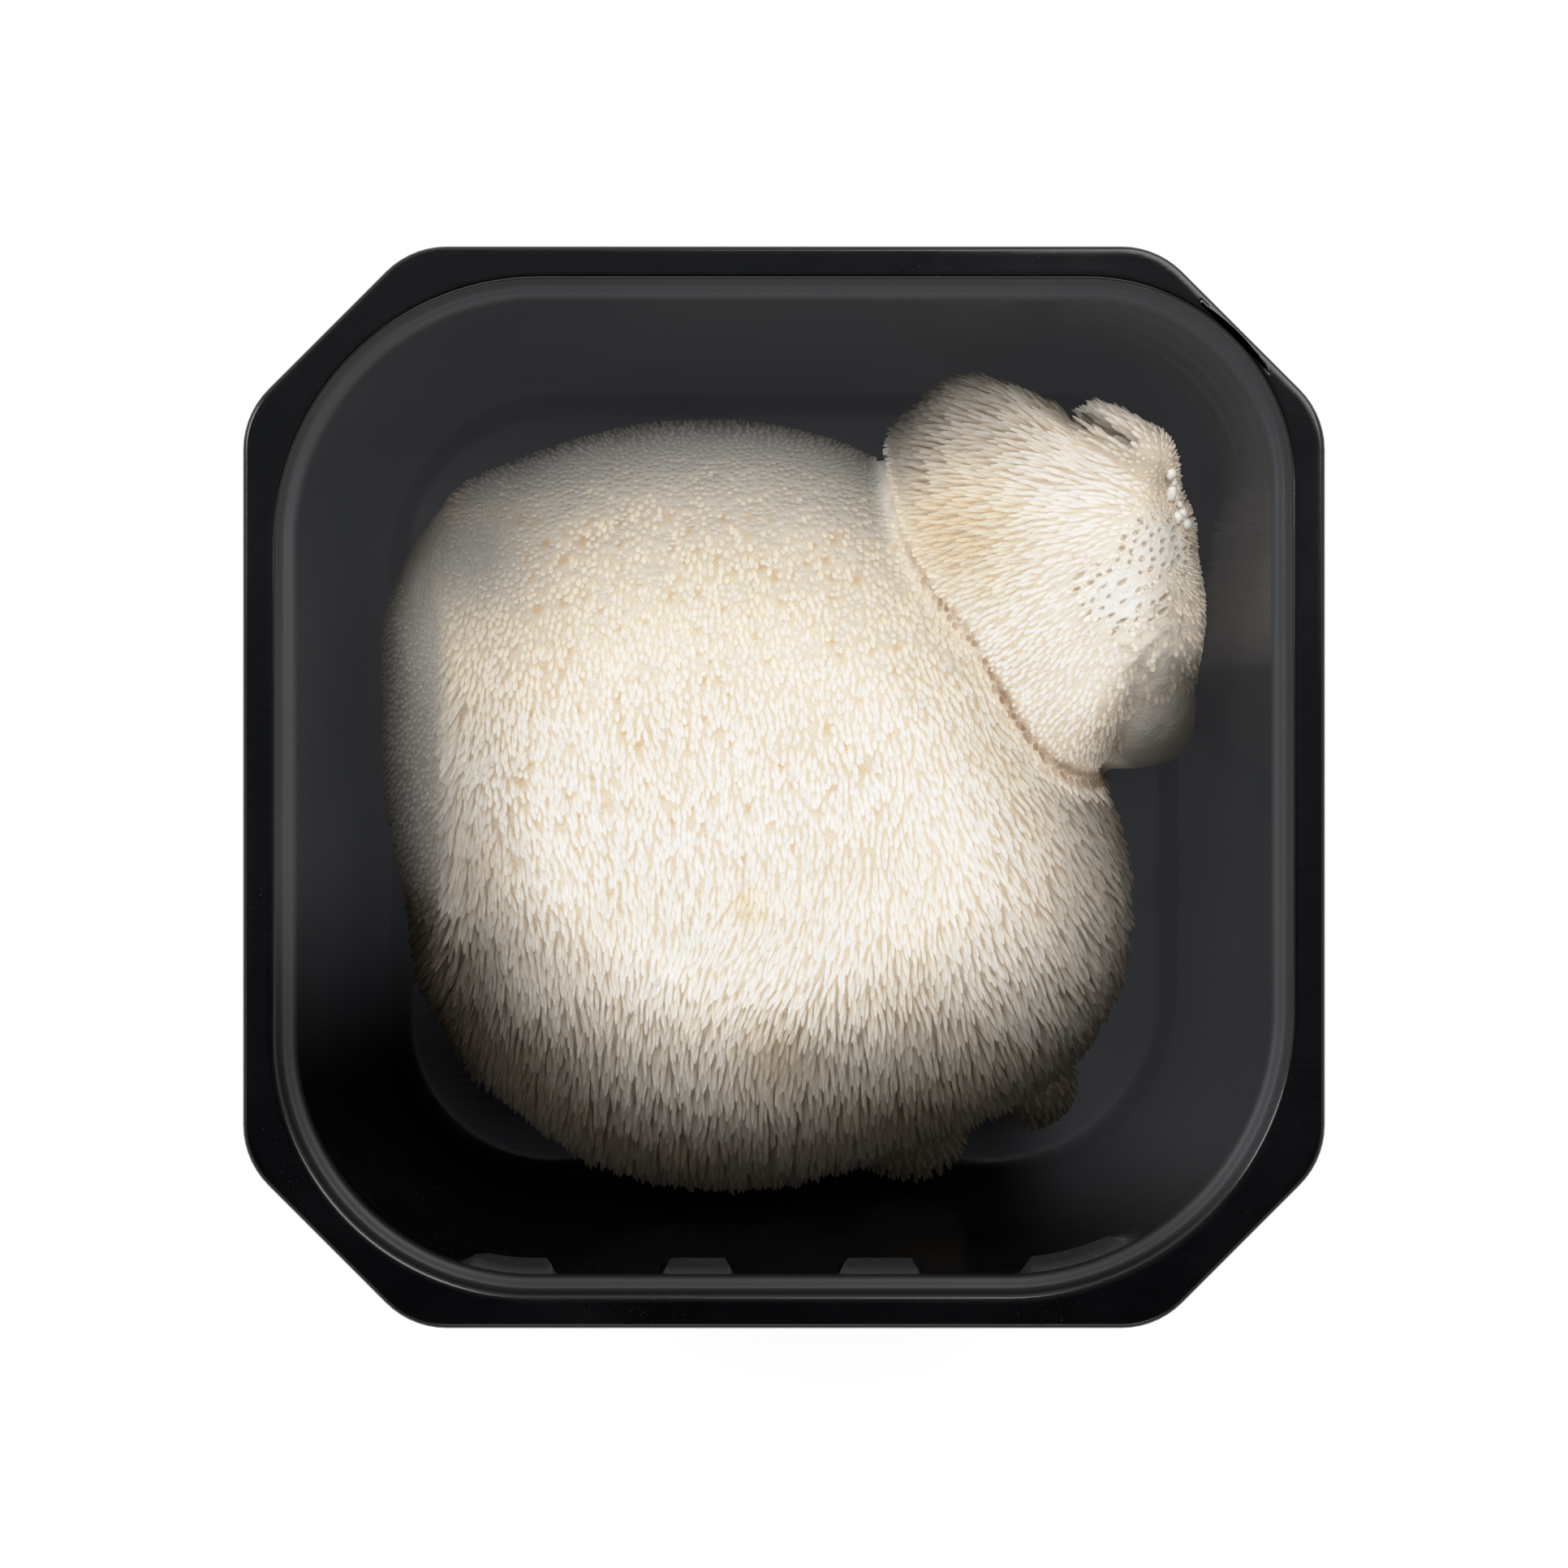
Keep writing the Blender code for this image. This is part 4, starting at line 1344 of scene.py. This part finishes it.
def build_lights():
    """A broad soft light from the upper right, two weaker ones from the left and the near side."""
    for name, (place, size, power, colour) in LIGHTS.items():
        data = bpy.data.lights.new(name, "AREA")
        data.shape = "RECTANGLE"
        data.size, data.size_y = size
        data.energy = power
        data.color = colour
        obj = linked(name, data)
        obj.location = place
        obj.rotation_euler = (Vector(LIGHT_TARGET) - Vector(place)).to_track_quat("-Z", "Y").to_euler()


def build_surround():
    """A soft surround: a pale ring low down, and a dim sky that is darkest over the near side."""
    world = bpy.data.worlds.new("surround")
    bpy.context.scene.world = world
    world.use_nodes = True
    tree = world.node_tree
    way = add(tree, "ShaderNodeTexCoord").outputs["Generated"]
    split = add(tree, "ShaderNodeSeparateXYZ", inputs={"Vector": way}).outputs
    over = ramp(tree, maths(tree, "ADD", split["Y"], 0.5, clamp=True), (
        (0.0, 0.06), (0.36, (0.02, 0.02, 0.022)), (0.50, (0.15, 0.16, 0.18)), (0.66, (0.26, 0.27, 0.30)),
        (1.0, (0.26, 0.27, 0.29)),
    ))
    half_y = maths(tree, "MULTIPLY", split["Y"], 0.5)
    around = ramp(tree, maths(tree, "ADD", half_y, 0.5, clamp=True), ((0.0, 0.55), (0.5, 0.85), (1.0, 1.1)))
    ring = ramp(tree, split["Z"], ((0.10, 0.3), (0.25, 1.0), (0.72, 1.0), (0.88, 0.0)))
    shade = mix(tree, ring, over, around)
    lean = maths(tree, "ADD", split["Y"], maths(tree, "MULTIPLY", split["X"], 0.35))
    overhead = ramp(tree, maths(tree, "ADD", lean, 0.5, clamp=True), (
        (0.435, (0.02, 0.02, 0.022)), (0.535, (0.26, 0.27, 0.30)),
    ))
    straight_up = ramp(tree, split["Z"], ((0.9895, 0.0), (0.9935, 1.0)))
    fill(tree, tree.nodes["Background"], {"Color": mix(tree, straight_up, shade, overhead), "Strength": 1.0})


def set_tone(view):
    """A film-like tone curve: darks a little darker, and brights that level off towards white."""
    view.view_transform = "Standard"
    view.look = "None"
    view.use_curve_mapping = True
    mapping = view.curve_mapping
    mapping.white_level = (TONE_WHITE, TONE_WHITE, TONE_WHITE)
    combined = mapping.curves[3]
    for given, shown in TONE:
        combined.points.new(given / TONE_WHITE, shown)
    mapping.update()


def build_camera():
    """A camera straight above, which sees the tray as the photograph does."""
    data = bpy.data.cameras.new("camera")
    data.sensor_width = 36
    data.lens = LENS
    data.clip_start = 0.05
    obj = linked("camera", data)
    obj.location = CAMERA_PLACE
    bpy.context.scene.camera = obj


def set_flesh_values(flesh):
    """Where the skin is bare, pale or brown, and how much painted shade it gets, for its material."""
    places = per_vertex(flesh.data, "co")
    normals = per_vertex(flesh.data, "normal")
    x, y, z = places.T
    depths = lobe_depths(places)
    owner = np.abs(depths - 1).argmin(1)
    on_body = owner == BODY
    clear = apart(owner, depths)
    along = (normals * pull_at(owner, places)).sum(1)
    bare = greatest(
        smooth_step(-0.30, -0.95, along) * np.where(on_body, 1.0, 0.3),
        # On the left shelf and the far-left shoulder, the shoulder's greys are partly painted shade.
        0.7 * smooth_step(-46, -52, x) * smooth_step(-26, -10, y),
        0.85 * far_left_shoulder(places),
    )
    pore = np.maximum(bump(places, *ROUND_PORES), bump(places, *LONG_PORES))
    pale = greatest(
        np.clip(pore * 1.3, 0, 1) * np.isin(owner, (SIDE, SIDE_LOW)) * (z > 30),
        0.6 * knobbly(places),
        0.7 * (owner == SIDE_LOW),
        0.10 * smooth_step(8, 22, y) * on_body,
    )
    # The seam's brown: partly the flesh's own colour, partly painted shade in the crease.
    brown = 0.9 * smooth_step(0.04, 0.01, clear) * smooth_step(10, 22, x) * (z > 26)
    pit = pit_shares(places, 0.0, 0.9, 1.3) * on_body
    add_values(flesh, bare=bare, pale=pale, pit=pit, brown=brown, low=painted_flank_shade(places, normals, clear))


def main():
    tray = build_tray(plastic_material())
    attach(tray, "root")
    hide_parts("tray")

    flesh = build_flesh(flesh_material())
    set_flesh_values(flesh)
    spines = build_spines(flesh, spine_material())
    beads = build_beads(flesh, bead_material())
    move_vertices(flesh.data, per_vertex(flesh.data, "co") * MM)
    for piece in (flesh, *spines, beads):
        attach(piece, "root")
        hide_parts("mushroom")

    specks = build_specks(residue_material())
    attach(specks, "root")

    build_floor()
    build_lights()
    build_surround()
    build_camera()
    set_tone(bpy.context.scene.view_settings)


main()
